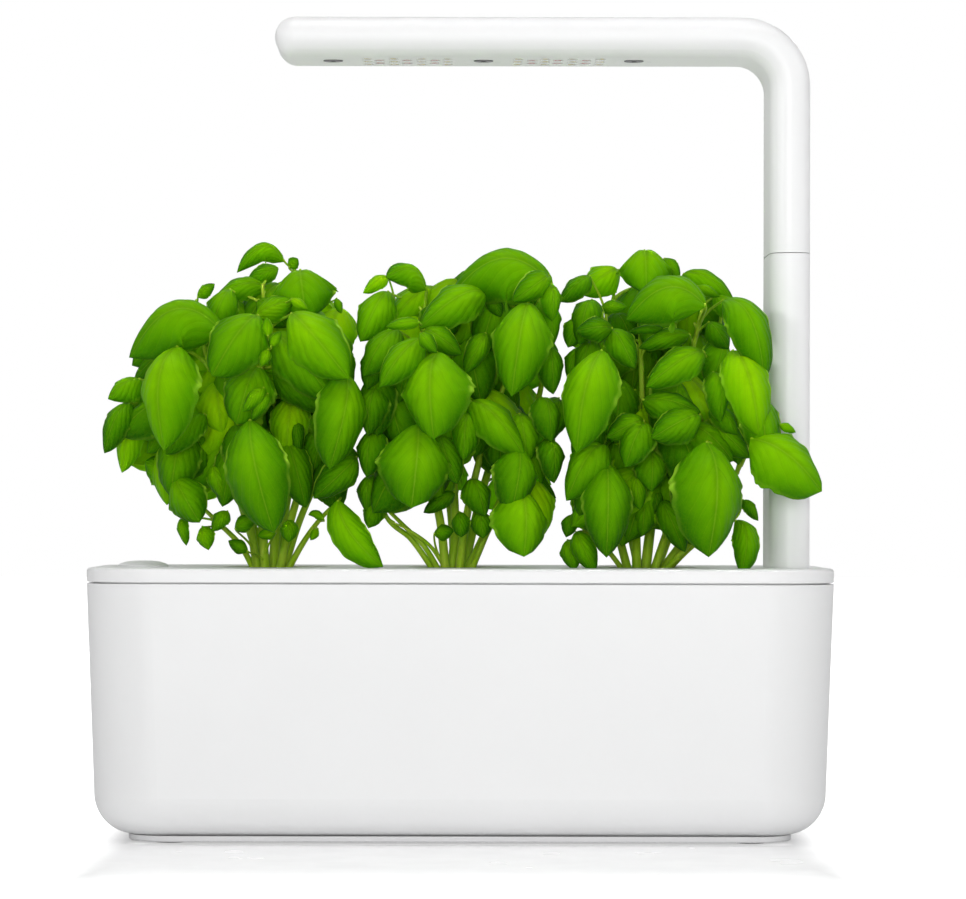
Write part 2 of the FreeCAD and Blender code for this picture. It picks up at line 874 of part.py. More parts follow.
# stiffening collars round the pod holes
for i in (-1, 0, 1):
    prim(
        lid,
        "AdditiveCylinder",
        "collar%d" % (i + 1),
        (S("pod_pitch") * i, 0, z_skin - 4.5),
        Radius=S("pod_seat") + 1.2,
        Height=5,
    )
for i in (-1, 0, 1):
    prim(
        lid,
        "SubtractiveCylinder",
        "pod_hole%d" % (i + 1),
        (S("pod_pitch") * i, 0, z_skin - 10),
        Radius=S("pod_hole"),
        Height=20,
    )
    prim(
        lid,
        "SubtractiveCylinder",
        "pod_seat%d" % (i + 1),
        (S("pod_pitch") * i, 0, z_top - S("pod_seat_depth")),
        Radius=S("pod_seat"),
        Height=4,
    )
# ribs under the panel, between the collars
for i, (x, w) in enumerate(((-38.5, 12), (38.5, 12))):
    for k, y in enumerate((-14, 12.5)):
        prim(
            lid,
            "AdditiveBox",
            "rib%d%d" % (i, k),
            (x - w / 2 - 6, y, z_skin - 3.5),
            Length=w + 12,
            Width=1.5,
            Height=4,
        )
# fill opening with the float in its front half
s = sketch(lid, "fill_opening", offset=z_top + 1)
fr = S("fill_radius")
rounded(
    s,
    S("fill_x"),
    (S("fill_front") + S("fill_back")) / 2,
    2 * fr,
    S("fill_back") - S("fill_front") + 2 * fr,
    fr - 0.01,
)
pocket(lid, s, 5, "fill_hole")
dress(
    lid,
    "Chamfer",
    lambda e: abs(e.BoundBox.ZMin - z_top.value) < 1e-4
    and abs(e.BoundBox.ZMax - z_top.value) < 1e-4
    and e.BoundBox.XMax < -110
    and e.BoundBox.XMin > -147,
    0.5,
    "fill_edge",
)
# opening that the post passes through
s = sketch(lid, "post_opening", offset=z_top + 1)
rounded(
    s,
    post_x,
    0,
    S("post_thick") + 1,
    S("post_depth") + 1,
    S("post_edge") + 0.5,
)
pocket(lid, s, 5, "post_hole")
keep(lid, "lid")

# ---------------------------------------------------------------- float gauge
cage = new_body("float_cage")
fx, fy = S("fill_x"), S("fill_front")
prim(
    cage,
    "AdditiveCylinder",
    "cage_tube",
    (fx, fy, 34),
    Radius=S("cage_radius"),
    Height=70,
)
prim(
    cage,
    "AdditiveBox",
    "cage_front_tab",
    (fx - 3.5, fy - 18, 98),
    Length=7,
    Width=8,
    Height=z_skin - 98,
)
prim(
    cage,
    "AdditiveBox",
    "cage_side_tab",
    (fx + 10, fy - 3.5, 98),
    Length=8,
    Width=7,
    Height=z_skin - 98,
)
prim(
    cage,
    "SubtractiveCylinder",
    "cage_bore",
    (fx, fy, 36),
    Radius=S("cage_bore"),
    Height=68.01,
)
# the tabs stop short of the opening above the tube
prim(
    cage,
    "SubtractiveCylinder",
    "cage_clear",
    (fx, fy, 103),
    Radius=S("fill_radius"),
    Height=12,
)
prim(cage, "SubtractiveCylinder", "cage_drain", (fx, fy, 30), Radius=8, Height=10)
for k, y in enumerate((-1, 1)):
    prim(
        cage,
        "SubtractiveBox",
        "cage_window%d" % k,
        (fx - 3, fy - 15 if y < 0 else fy + 5, 42),
        Length=6,
        Width=10,
        Height=48,
    )
prim(
    cage,
    "SubtractiveBox",
    "cage_window2",
    (fx - 15, fy - 3, 42),
    Length=30,
    Width=6,
    Height=48,
)
keep(cage, "float_cage")

cap = new_body("float_cap")
s = sketch(cap, "cap_profile", "XZ_Plane")
zc = z_top - 0.5
g = chain(
    s,
    [
        (0, 0),
        (S("cap_radius"), 0),
        (S("cap_radius"), S("cap_rim")),
        (S("cap_radius") - 1.2, S("cap_rim") + 0.75),
        (S("cap_radius") * 0.66, S("cap_rim") + S("cap_dome") * 0.78),
        (S("cap_radius") * 0.35, S("cap_rim") + S("cap_dome") * 0.96),
        (0, S("cap_rim") + S("cap_dome")),
    ],
)
rev = cap.newObject("PartDesign::Revolution", "cap_turned")
rev.Profile = s
rev.ReferenceAxis = (s, ["V_Axis"])
rev.Angle = 360
doc.recompute()
cap.Placement = Placement(Vector(fx.value, fy.value, zc.value), Rotation())
place(cap, fx, fy, zc)
keep(cap, "float_cap")

float_body = new_body("float_body")
s = sketch(float_body, "float_profile", "XZ_Plane")
fr_ = S("float_radius")
chain(
    s,
    [
        (0, 62),
        (fr_ - 2, 62),
        (fr_, 64),
        (fr_, 92),
        (fr_ - 2, 94),
        (3, 96),
        (3, zc),
        (0, zc),
    ],
)
rev = float_body.newObject("PartDesign::Revolution", "float_turned")
rev.Profile = s
rev.ReferenceAxis = (s, ["V_Axis"])
rev.Angle = 360
doc.recompute()
place(float_body, fx, fy, 0)
keep(float_body, "float_body")

# ---------------------------------------------------------------- pods
z_flange = z_top - S("flange_thickness") - 0.05
names3 = ("left", "middle", "right")


def pod(name, index):
    px = S("pod_pitch") * (index - 1)
    b = new_body("pod_cup_" + name)
    s = sketch(b, "cup_profile_" + name, "XZ_Plane")
    top, foot = S("cup_radius"), S("cup_foot_radius")
    w, low = S("cup_wall"), -S("cup_length")
    th = S("flange_thickness")
    chain(
        s,
        [
            (0, low),
            (foot, low),
            (top, 0),
            (S("flange_radius"), 0),
            (S("flange_radius"), th),
            (top - w, th),
            (top - w, 0),
            (foot - w, low + w),
            (0, low + w),
        ],
    )
    rev = b.newObject("PartDesign::Revolution", "cup_turned_" + name)
    rev.Profile = s
    rev.ReferenceAxis = (s, ["V_Axis"])
    rev.Angle = 360
    doc.recompute()
    # slots low in the wall let the water in
    for k in range(4):
        turn = Rotation(Vector(0, 0, 1), 45 * k)
        off = turn.multVec(Vector(-30, -1.6, 0))
        f = b.newObject("PartDesign::SubtractiveBox", "slot_%s%d" % (name, k))
        f.Length, f.Width, f.Height = 60, 3.2, 18
        f.Placement = Placement(
            Vector(off.x, off.y, -values["cup_length"] + 5), turn
        )
        doc.recompute()
    prim(
        b,
        "SubtractiveCylinder",
        "drain_" + name,
        (0, 0, low - 1),
        Radius=5,
        Height=5,
    )
    b.Placement = Placement(Vector(px.value, 0, z_flange.value), Rotation())
    place(b, px, 0, z_flange)
    keep(b, "pod_cup_" + name)

    # peat-like growing medium that fills the cup
    m = new_body("pod_soil_" + name)
    s = sketch(m, "soil_profile_" + name, "XZ_Plane")
    chain(
        s,
        [
            (0, low + w + 0.2),
            (foot - w - 0.3, low + w + 0.2),
            (top - w - 0.3, -1.2),
            (top - w - 4, 0),
            (0, 0.4),
        ],
    )
    rev = m.newObject("PartDesign::Revolution", "soil_turned_" + name)
    rev.Profile = s
    rev.ReferenceAxis = (s, ["V_Axis"])
    rev.Angle = 360
    doc.recompute()
    m.Placement = Placement(Vector(px.value, 0, z_flange.value), Rotation())
    place(m, px, 0, z_flange)
    keep(m, "pod_soil_" + name)

    # stems: a few slanting rods that leave the medium side by side
    rods = []
    fan = [(15, -4, 46), (5, 10, 46), (-12, 7, 46), (-13, -7, 46), (2, -12, 46)]
    if name == "right":
        # the stem of the leaves in front of the post
        fan[4] = (47, -39, 37)
    for k, (dx, dy, rise) in enumerate(fan):
        a = math.radians(72 * k)
        x0_, y0_ = 3.7 * math.cos(a), 3.7 * math.sin(a)
        v = Vector(dx - x0_, dy - y0_, rise)
        rods.append(
            solid(
                "Cylinder",
                "stem_%s%d" % (name, k),
                (px + x0_, y0_, z_flange - 3),
                Rotation(Vector(0, 0, 1), v),
                Radius=1.7,
                Height=v.Length + 3,
            )
        )
    crown = solid(
        "Cylinder",
        "stem_crown_" + name,
        (px, 0, z_flange - 4),
        Radius=6.2,
        Height=3,
    )
    keep(fuse("stems_" + name, rods + [crown]), "stems_" + name)


for i, name in enumerate(names3):
    pod(name, i)


# foliage: each plant's leaf mass as a closed solid, between upright side
# planes so that a pod with its plant lifts out past its neighbours
def leaf_mass(name, balls, lo, hi, lobe=None):
    parts_ = []
    for k, (c, r) in enumerate(balls):
        parts_.append(blob("leafball_%s%d" % (name, k), c, r))
    mass = fuse("leafmass_" + name, parts_)
    side = box("leafbox_" + name, lo, hi)
    com = doc.addObject("Part::Common", "leaftrim_" + name)
    com.Base, com.Tool = mass, side
    if lobe is None:
        return keep(com, "foliage_" + name)
    # the leaves in front of the post are a solid of their own, beside the mass
    centre, radii, lo, hi = lobe
    cut_lobe = doc.addObject("Part::Common", "leaflobe_trim_" + name)
    cut_lobe.Base = blob("leaflobe_" + name, centre, radii)
    cut_lobe.Tool = box("leaflobe_box_" + name, lo, hi)
    return keep(fuse("foliage_" + name, [com, cut_lobe]), "foliage_" + name)


def blob(name, centre, radii):
    """An ellipsoid with its three radii along X, Y and Z."""
    e = doc.addObject("Part::Ellipsoid", name)
    # Radius1 is along Z, Radius2 along X and Radius3 along Y
    e.Radius1, e.Radius2, e.Radius3 = radii[2], radii[0], radii[1]
    e.Angle1, e.Angle2, e.Angle3 = -90, 90, 360
    e.Placement = Placement(Vector(*centre), Rotation())
    place(e, *centre)
    return e


leaf_mass(
    "left",
    [
        ((-118, -4, 198), (30, 42, 27)),
        ((-80, 0, 204), (40, 57, 41)),
        ((-64, 0, 176), (28, 54, 44)),
        ((-104, 0, 160), (32, 46, 30)),
    ],
    (-150, -60, 126),
    (-43.4, 60, 250),
)
leaf_mass(
    "middle",
    [
        ((0, 0, 204), (50, 57, 42)),
        ((-14, 0, 168), (34, 52, 38)),
        ((20, 0, 164), (30, 50, 36)),
    ],
    (-42.8, -60, 126),
    (43.4, 60, 250),
)
leaf_mass(
    "right",
    [
        ((80, 0, 204), (46, 57, 42)),
        ((68, 0, 164), (32, 52, 38)),
        ((98, -6, 166), (30, 46, 40)),
    ],
    (44, -60, 126),
    (121, 60, 250),
    lobe=((126, -43, 152), (24, 14.5, 19), (121.6, -60, 130), (152, -27, 174)),
)

# ---------------------------------------------------------------- arms
z0 = S("arm_foot")
z1 = z0 + S("lower_arm_height")
z2 = z1 + S("upper_arm_height")
arm("lower_arm", z0, z1 - S("joint_gap"))
arm("upper_arm", z1, z2 - S("joint_gap"))

# ---------------------------------------------------------------- lamp
t = S("post_thick")
x_out = post_x + t / 2
x_in = post_x - t / 2
z_lt = S("lamp_top")
z_lu = z_lt - t
r_in = S("bend_inner")
r_out = r_in + t
x_left = S("lamp_left")


def lamp_band(s, near, far, left, low, round_end=False, tag="b"):
    """The bent band of the lamp seen from the front, in the sketch's X and Z.

    near and far are the band's distances from the inner side of the bend.
    """
    near, far, left, low = [Q.of(v) for v in (near, far, left, low)]
    cx, cz = (x_in - r_in), (z_lu - r_in)
    ra, rb = r_in + near, r_in + far
    xa, xb = x_in + near, x_in + far
    za, zb = z_lu + near, z_lu + far
    h = math.pi / 2

    def V(a, b):
        return Vector(Q.of(a).value, Q.of(b).value, 0)

    def arc(c, r, a0, a1):
        circle = Part.Circle(c, Vector(0, 0, 1), Q.of(r).value)
        return s.addGeometry(Part.ArcOfCircle(circle, a0, a1), False)

    def line(a, b):
        return s.addGeometry(Part.LineSegment(a, b), False)

    C = V(cx, cz)
    half = (far - near) / 2
    end_x = left + half if round_end else left
    g_right = line(V(xb, low), V(xb, cz))
    g_outer = arc(C, rb, 0, h)
    g_top = line(V(cx, zb), V(end_x, zb))
    if round_end:
        g_end = arc(V(end_x, za + half), half, h, 3 * h)
    else:
        g_end = line(V(end_x, zb), V(end_x, za))
    g_under = line(V(end_x, za), V(cx, za))
    g_inner = arc(C, ra, 0, h)
    g_left = line(V(xa, cz), V(xa, low))
    g_foot = line(V(xa, low), V(xb, low))
    con = s.addConstraint
    T, J = "Tangent", "Coincident"
    con(Sketcher.Constraint(T, g_right, 2, g_outer, 1))
    con(Sketcher.Constraint(T, g_outer, 2, g_top, 1))
    if round_end:
        con(Sketcher.Constraint(T, g_top, 2, g_end, 1))
        con(Sketcher.Constraint(T, g_end, 2, g_under, 1))
    else:
        con(Sketcher.Constraint(J, g_top, 2, g_end, 1))
        con(Sketcher.Constraint(J, g_end, 2, g_under, 1))
        con(Sketcher.Constraint("Vertical", g_end))
    con(Sketcher.Constraint(T, g_under, 2, g_inner, 2))
    con(Sketcher.Constraint(T, g_inner, 1, g_left, 1))
    con(Sketcher.Constraint(J, g_left, 2, g_foot, 1))
    con(Sketcher.Constraint(J, g_foot, 2, g_right, 1))
    con(Sketcher.Constraint("Vertical", g_right))
    con(Sketcher.Constraint("Vertical", g_left))
    con(Sketcher.Constraint("Horizontal", g_top))
    con(Sketcher.Constraint("Horizontal", g_under))
    con(Sketcher.Constraint("Horizontal", g_foot))
    dist(s, "DistanceX", (-1, 1, g_right, 1), xb, tag + "_xb")
    dist(s, "DistanceX", (-1, 1, g_left, 1), xa, tag + "_xa")
    dist(s, "DistanceY", (-1, 1, g_right, 1), low, tag + "_low")
    dist(s, "DistanceY", (-1, 1, g_top, 1), zb, tag + "_zb")
    dist(s, "DistanceY", (-1, 1, g_under, 2), za, tag + "_za")
    dist(s, "DistanceX", (-1, 1, g_top, 1), cx, tag + "_cx")
    dist(s, "DistanceX", (-1, 1, g_under, 2), cx, tag + "_ci")
    dist(s, "DistanceX", (-1, 1, g_under, 1), end_x, tag + "_end")


def lamp_blank(body, tag):
    s = sketch(body, tag + "_outline", "XZ_Plane")
    lamp_band(s, 0, t, x_left, z2, round_end=True)
    pad(body, s, S("post_depth"), tag + "_band", middle=True)
    half = values["post_depth"] / 2
    dress(
        body,
        "Fillet",
        lambda e: abs(abs(e.CenterOfMass.y) - half) < 1e-4
        and e.BoundBox.YLength < 1e-4
        and e.CenterOfMass.z > z2.value + 0.01,
        S("post_edge"),
        tag + "_round",
    )


cover_t = S("cover_thick")
shell = new_body("lamp_shell")
lamp_blank(shell, "shell")
# take away the inner side, where the cover goes
s = sketch(shell, "shell_split", "XZ_Plane")
cx, cz = x_in - r_in, z_lu - r_in
ra = r_in + cover_t


def split_outline(s, outer):
    """Everything on one side of the parting line between shell and cover."""
    xa, za = x_in + cover_t, z_lu + cover_t
    left, low = x_left - 6, z2 - 6

    def V(a, b):
        return Vector(Q.of(a).value, Q.of(b).value, 0)

    def line(a, b):
        return s.addGeometry(Part.LineSegment(a, b), False)

    arc_c = Part.Circle(V(cx, cz), Vector(0, 0, 1), ra.value)
    con = s.addConstraint
    g_under = line(V(left, za), V(cx, za))
    g_arc = s.addGeometry(Part.ArcOfCircle(arc_c, 0, math.pi / 2), False)
    g_side = line(V(xa, cz), V(xa, low))
    con(Sketcher.Constraint("Tangent", g_under, 2, g_arc, 2))
    con(Sketcher.Constraint("Tangent", g_arc, 1, g_side, 1))
    con(Sketcher.Constraint("Horizontal", g_under))
    con(Sketcher.Constraint("Vertical", g_side))
    if outer:
        far_x, far_z = x_out + 6, z_lt + 6
        a = line(V(xa, low), V(far_x, low))
        b = line(V(far_x, low), V(far_x, far_z))
        c = line(V(far_x, far_z), V(left, far_z))
        d = line(V(left, far_z), V(left, za))
        for p, q in ((g_side, a), (a, b), (b, c), (c, d), (d, g_under)):
            con(Sketcher.Constraint("Coincident", p, 2, q, 1))
        for h in (a, c):
            con(Sketcher.Constraint("Horizontal", h))
        for v in (b, d):
            con(Sketcher.Constraint("Vertical", v))
        dist(s, "DistanceX", (-1, 1, b, 1), far_x, "far_x")
        dist(s, "DistanceY", (-1, 1, c, 1), far_z, "far_z")
    else:
        a = line(V(xa, low), V(left, low))
        b = line(V(left, low), V(left, za))
        for p, q in ((g_side, a), (a, b), (b, g_under)):
            con(Sketcher.Constraint("Coincident", p, 2, q, 1))
        con(Sketcher.Constraint("Horizontal", a))
        con(Sketcher.Constraint("Vertical", b))
    dist(s, "DistanceX", (-1, 1, g_side, 1), xa, "xa")
    dist(s, "DistanceY", (-1, 1, g_under, 2), za, "za")
    dist(s, "DistanceX", (-1, 1, g_under, 2), cx, "cx")
    dist(s, "DistanceX", (-1, 1, g_under, 1), left, "left")
    dist(s, "DistanceY", (-1, 1, g_side, 2), low, "low")


split_outline(s, False)
pocket(shell, s, 60, "shell_open_side", middle=True)
s = sketch(shell, "shell_room", "XZ_Plane")
lamp_band(s, cover_t, t - S("shell_wall"), x_left + 9, z2 - 5, tag="q")
pocket(shell, s, 35.2, "shell_hollow", middle=True)
lamp_screw_x = [
    S("screw_mid") - S("screw_pitch"),
    S("screw_mid"),
    S("screw_mid") + S("screw_pitch"),
]
for k, x in enumerate(lamp_screw_x):
    prim(
        shell,
        "AdditiveCylinder",
        "post%d" % k,
        (x, 0, z_lu + cover_t),
        Radius=3.6,
        Height=t - cover_t - 1,
    )
    prim(
        shell,
        "SubtractiveCylinder",
        "post_bore%d" % k,
        (x, 0, z_lu),
        Radius=1.25,
        Height=12.4,
    )
keep(shell, "lamp_shell")

cover = new_body("lamp_cover")
lamp_blank(cover, "cover")
s = sketch(cover, "cover_split", "XZ_Plane")
split_outline(s, True)
pocket(cover, s, 60, "cover_cut", middle=True)
# seats for the two LED boards on the inner face, and a hole for each LED
board_x = [(-45.3, 0.7), (17.75, 63.75)]
for k, (a, b) in enumerate(board_x):
    prim(
        cover,
        "SubtractiveBox",
        "board_seat%d" % k,
        (a - 0.2, -14.2, z_lu + 1.2),
        Length=b - a + 0.4,
        Width=28.4,
        Height=4,
    )
columns = [
    (-38.9, -34.0, -28.0, -22.6, -16.5, -11.1, -5.6),
    (23.6, 29.5, 34.9, 40.3, 46.4, 51.8, 57.9),
]
white_at, red_at = [], []
for cols in columns:
    for i, x in enumerate(cols):
        for y in (-9.5, 0, 9.5) if i % 2 == 0 else (-4.75, 4.75):
            (white_at if i % 2 == 0 else red_at).append((x, y))
for k, (x, y) in enumerate(white_at + red_at):
    prim(
        cover,
        "SubtractiveCylinder",
        "led_hole%d" % k,
        (x, y, z_lu - 1),
        Radius=S("led_size") / 2 + 0.65,
        Height=3,
    )
for k, x in enumerate(lamp_screw_x):
    prim(
        cover,
        "SubtractiveCone",
        "well%d" % k,
        (x, 0, z_lu - 0.01),
        Radius1=7.5,
        Radius2=5.4,
        Height=0.5,
    )
    prim(
        cover,
        "SubtractiveCylinder",
        "head_seat%d" % k,
        (x, 0, z_lu - 0.01),
        Radius=4.15,
        Height=1.6,
    )
    prim(
        cover,
        "SubtractiveCylinder",
        "screw_way%d" % k,
        (x, 0, z_lu - 0.01),
        Radius=1.6,
        Height=4,
    )
keep(cover, "lamp_cover")

bolts = []
for k, x in enumerate(lamp_screw_x):
    head = solid(
        "Cylinder", "ls_head%d" % k, (x, 0, z_lu + 0.2), Radius=4.05, Height=1.39
    )
    shank = solid("Cylinder", "ls_shank%d" % k, (x, 0, z_lu + 1), Radius=1.25, Height=10)
    drive = solid("Prism", "ls_drive%d" % k, (x, 0, z_lu - 0.4), Circumradius=1.4, Height=1.4)
    bolts.append(cut("ls%d" % k, fuse("ls_body%d" % k, [head, shank]), drive))
group("lamp_screws", bolts)

for k, ((a, b), name) in enumerate(zip(board_x, ("led_board_left", "led_board_right"))):
    keep(box(name, (a, -14, z_lu + 1.2), (b, 14, z_lu + cover_t)), name)
led = S("led_size")


def leds(label, spots):
    out = []
    for k, (x, y) in enumerate(spots):
        base = box(
            "%s_base%d" % (label, k),
            (x - led / 2, y - led / 2 * 0.9, z_lu + 0.25),
            (x + led / 2, y + led / 2 * 0.9, z_lu + 1.2),
        )
        lens = solid(
            "Cylinder",
            "%s_lens%d" % (label, k),
            (x, y, z_lu - 0.05),
            Radius=led * 0.42,
            Height=0.5,
        )
        out.append(fuse("%s%d" % (label, k), [base, lens]))
    return group(label, out)


leds("white_leds", white_at)
leds("red_leds", red_at)

# aluminium strip that spreads the boards' heat, cut out round the screw posts
strip = new_body("heat_spreader")
s = sketch(strip, "strip_outline", offset=z_lu + cover_t)
rounded(s, 9.3, 0, 150, 34, 3)
pad(strip, s, 1.5, "strip_sheet")
for k, x in enumerate(lamp_screw_x):
    prim(
        strip,
        "SubtractiveCylinder",
        "strip_hole%d" % k,
        (x, 0, z_lu),
        Radius=3.8,
        Height=10,
    )
keep(strip, "heat_spreader")

# driver board with its timer, upright in the lamp's post
zd = z2 + 14
keep(box("driver_board", (post_x - 1.5, -14, zd), (post_x + 0.1, 14, zd + 44)), "driver_board")
parts_on_board = [
    box("coil", (post_x + 0.1, -11, zd + 4), (post_x + 5, -3, zd + 12)),
    box("timer_chip", (post_x + 0.1, -4, zd + 18), (post_x + 1.4, 4, zd + 26)),
    box("driver_chip", (post_x + 0.1, 3, zd + 31), (post_x + 1.7, 9, zd + 36)),
    solid("Cylinder", "capacitor", (post_x + 3.1, 7, zd + 4), Radius=3, Height=10),
]
group("driver_parts", parts_on_board)

room_w = t - cover_t - S("shell_wall")
plug_block(
    "lamp_plug",
    z2,
    middle=post_x + (cover_t - S("shell_wall")) / 2,
    wide=room_w,
    deep=35.2,
    corner=1,
)
group("lamp_contacts", contact_pins("lamp", z2 - S("tongue_length")))
zl, zb_ = (z2 - 8.5).value, zd.value
zt = (z_lu + cover_t + 1.5).value
low_a = bent_wire(
    [(136, -8, zl), (136, -8, zb_ - 5), (135.3, -8, zb_ - 3.4), (135.3, -8, zb_)], 1.2, 0.8
)
low_b = bent_wire(
    [(136, 8, zl), (136, 8, zb_ - 5), (135.3, 8, zb_ - 3.4), (135.3, 8, zb_)], 1.2, 0.8
)
top_a = bent_wire(
    [(135.3, -6, zb_ + 44), (135.3, -6, zt + 3), (88, -6, zt + 3)], 6, 0.8
)
top_b = bent_wire(
    [(135.3, 6, zb_ + 44), (135.3, 6, zt + 3), (88, 6, zt + 3)], 6, 0.8
)
feature("lamp_wires", Part.makeCompound([low_a, low_b, top_a, top_b]))

# ---------------------------------------------------------------- check and write
doc.recompute()
bad = []
for obj in doc.Objects:
    if "Invalid" in obj.State or "Error" in obj.State:
        bad.append("%s %s" % (obj.Name, obj.State))
for obj in nodes:
    if obj.Shape.isNull() or not obj.Shape.isValid() or not obj.Shape.Solids:
        bad.append(obj.Label + " has no valid shape")
labels = [obj.Label for obj in nodes]
if len(set(labels)) != len(labels):
    bad.append("labels repeat")
if len(labels) > 60:
    bad.append("too many sub-parts")
if bad:
    raise RuntimeError("; ".join(bad))
for obj in nodes:
    obj.Shape.exportStep("parts/%s.step" % obj.Label)
    b = obj.Shape.BoundBox
    print(
        "%-22s solids %2d volume %10.1f  x %7.1f %7.1f  y %6.1f %6.1f  z %6.1f %6.1f"
        % (
            obj.Label,
            len(obj.Shape.Solids),
            obj.Shape.Volume,
            b.XMin,
            b.XMax,
            b.YMin,
            b.YMax,
            b.ZMin,
            b.ZMax,
        )
    )
print(len(nodes), "sub-parts")
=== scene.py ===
"""Countertop hydroponic garden: looks, plants, stage, lights and camera.

The CAD frame gives the hard parts. The basil plants are built here, in the
frame's metres: stems, leaf stalks and leaves, placed by pixel and depth.
"""

import json
import math
import random

import bpy
import numpy as np
from mathutils import Matrix, Vector


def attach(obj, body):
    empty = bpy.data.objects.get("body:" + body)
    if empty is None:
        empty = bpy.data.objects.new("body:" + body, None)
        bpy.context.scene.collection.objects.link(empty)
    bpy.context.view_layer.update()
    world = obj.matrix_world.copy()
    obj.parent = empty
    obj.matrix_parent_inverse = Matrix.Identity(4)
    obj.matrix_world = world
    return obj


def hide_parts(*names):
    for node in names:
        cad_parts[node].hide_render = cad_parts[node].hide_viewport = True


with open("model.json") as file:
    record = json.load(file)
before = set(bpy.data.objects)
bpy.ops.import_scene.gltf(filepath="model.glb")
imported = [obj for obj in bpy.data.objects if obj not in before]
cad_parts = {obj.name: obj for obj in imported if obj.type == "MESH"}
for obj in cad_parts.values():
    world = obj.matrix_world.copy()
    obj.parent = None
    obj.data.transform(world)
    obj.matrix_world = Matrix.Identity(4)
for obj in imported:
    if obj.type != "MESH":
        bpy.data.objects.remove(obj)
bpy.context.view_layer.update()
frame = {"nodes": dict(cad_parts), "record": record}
nodes = frame["nodes"]
scene = bpy.context.scene

# ------------------------------------------------------------------ camera
W_PX, H_PX = 966, 899
FOCAL = 3740.0  # px
EYE_Y, EYE_Z = -1.5625, 0.135  # m
CX, CY = 460.5, 511.0  # px where the optical axis meets the picture

cam_data = bpy.data.cameras.new("camera")
cam_data.sensor_fit = "HORIZONTAL"
cam_data.sensor_width = 36.0
cam_data.lens = 36.0 * FOCAL / W_PX
cam_data.shift_x = (W_PX / 2 - CX) / W_PX
cam_data.shift_y = (CY - H_PX / 2) / W_PX
cam_data.clip_start, cam_data.clip_end = 0.1, 30.0
camera = bpy.data.objects.new("camera", cam_data)
camera.location = (0.0, EYE_Y, EYE_Z)
camera.rotation_euler = (math.pi / 2, math.radians(-0.1), 0.0)
scene.collection.objects.link(camera)
scene.camera = camera


def at(px, py, y_mm):
    """The point seen at a pixel, at a depth along Y in mm."""
    y = y_mm / 1000.0
    d = y - EYE_Y
    return np.array([(px - CX) * d / FOCAL, y, EYE_Z + (CY - py) * d / FOCAL])


def seen(p):
    """Pixels of points (n, 3) in metres."""
    d = p[:, 1] - EYE_Y
    return np.stack([CX + p[:, 0] * FOCAL / d, CY - (p[:, 2] - EYE_Z) * FOCAL / d], 1)


PX = -EYE_Y / FOCAL  # metres in a pixel at y = 0


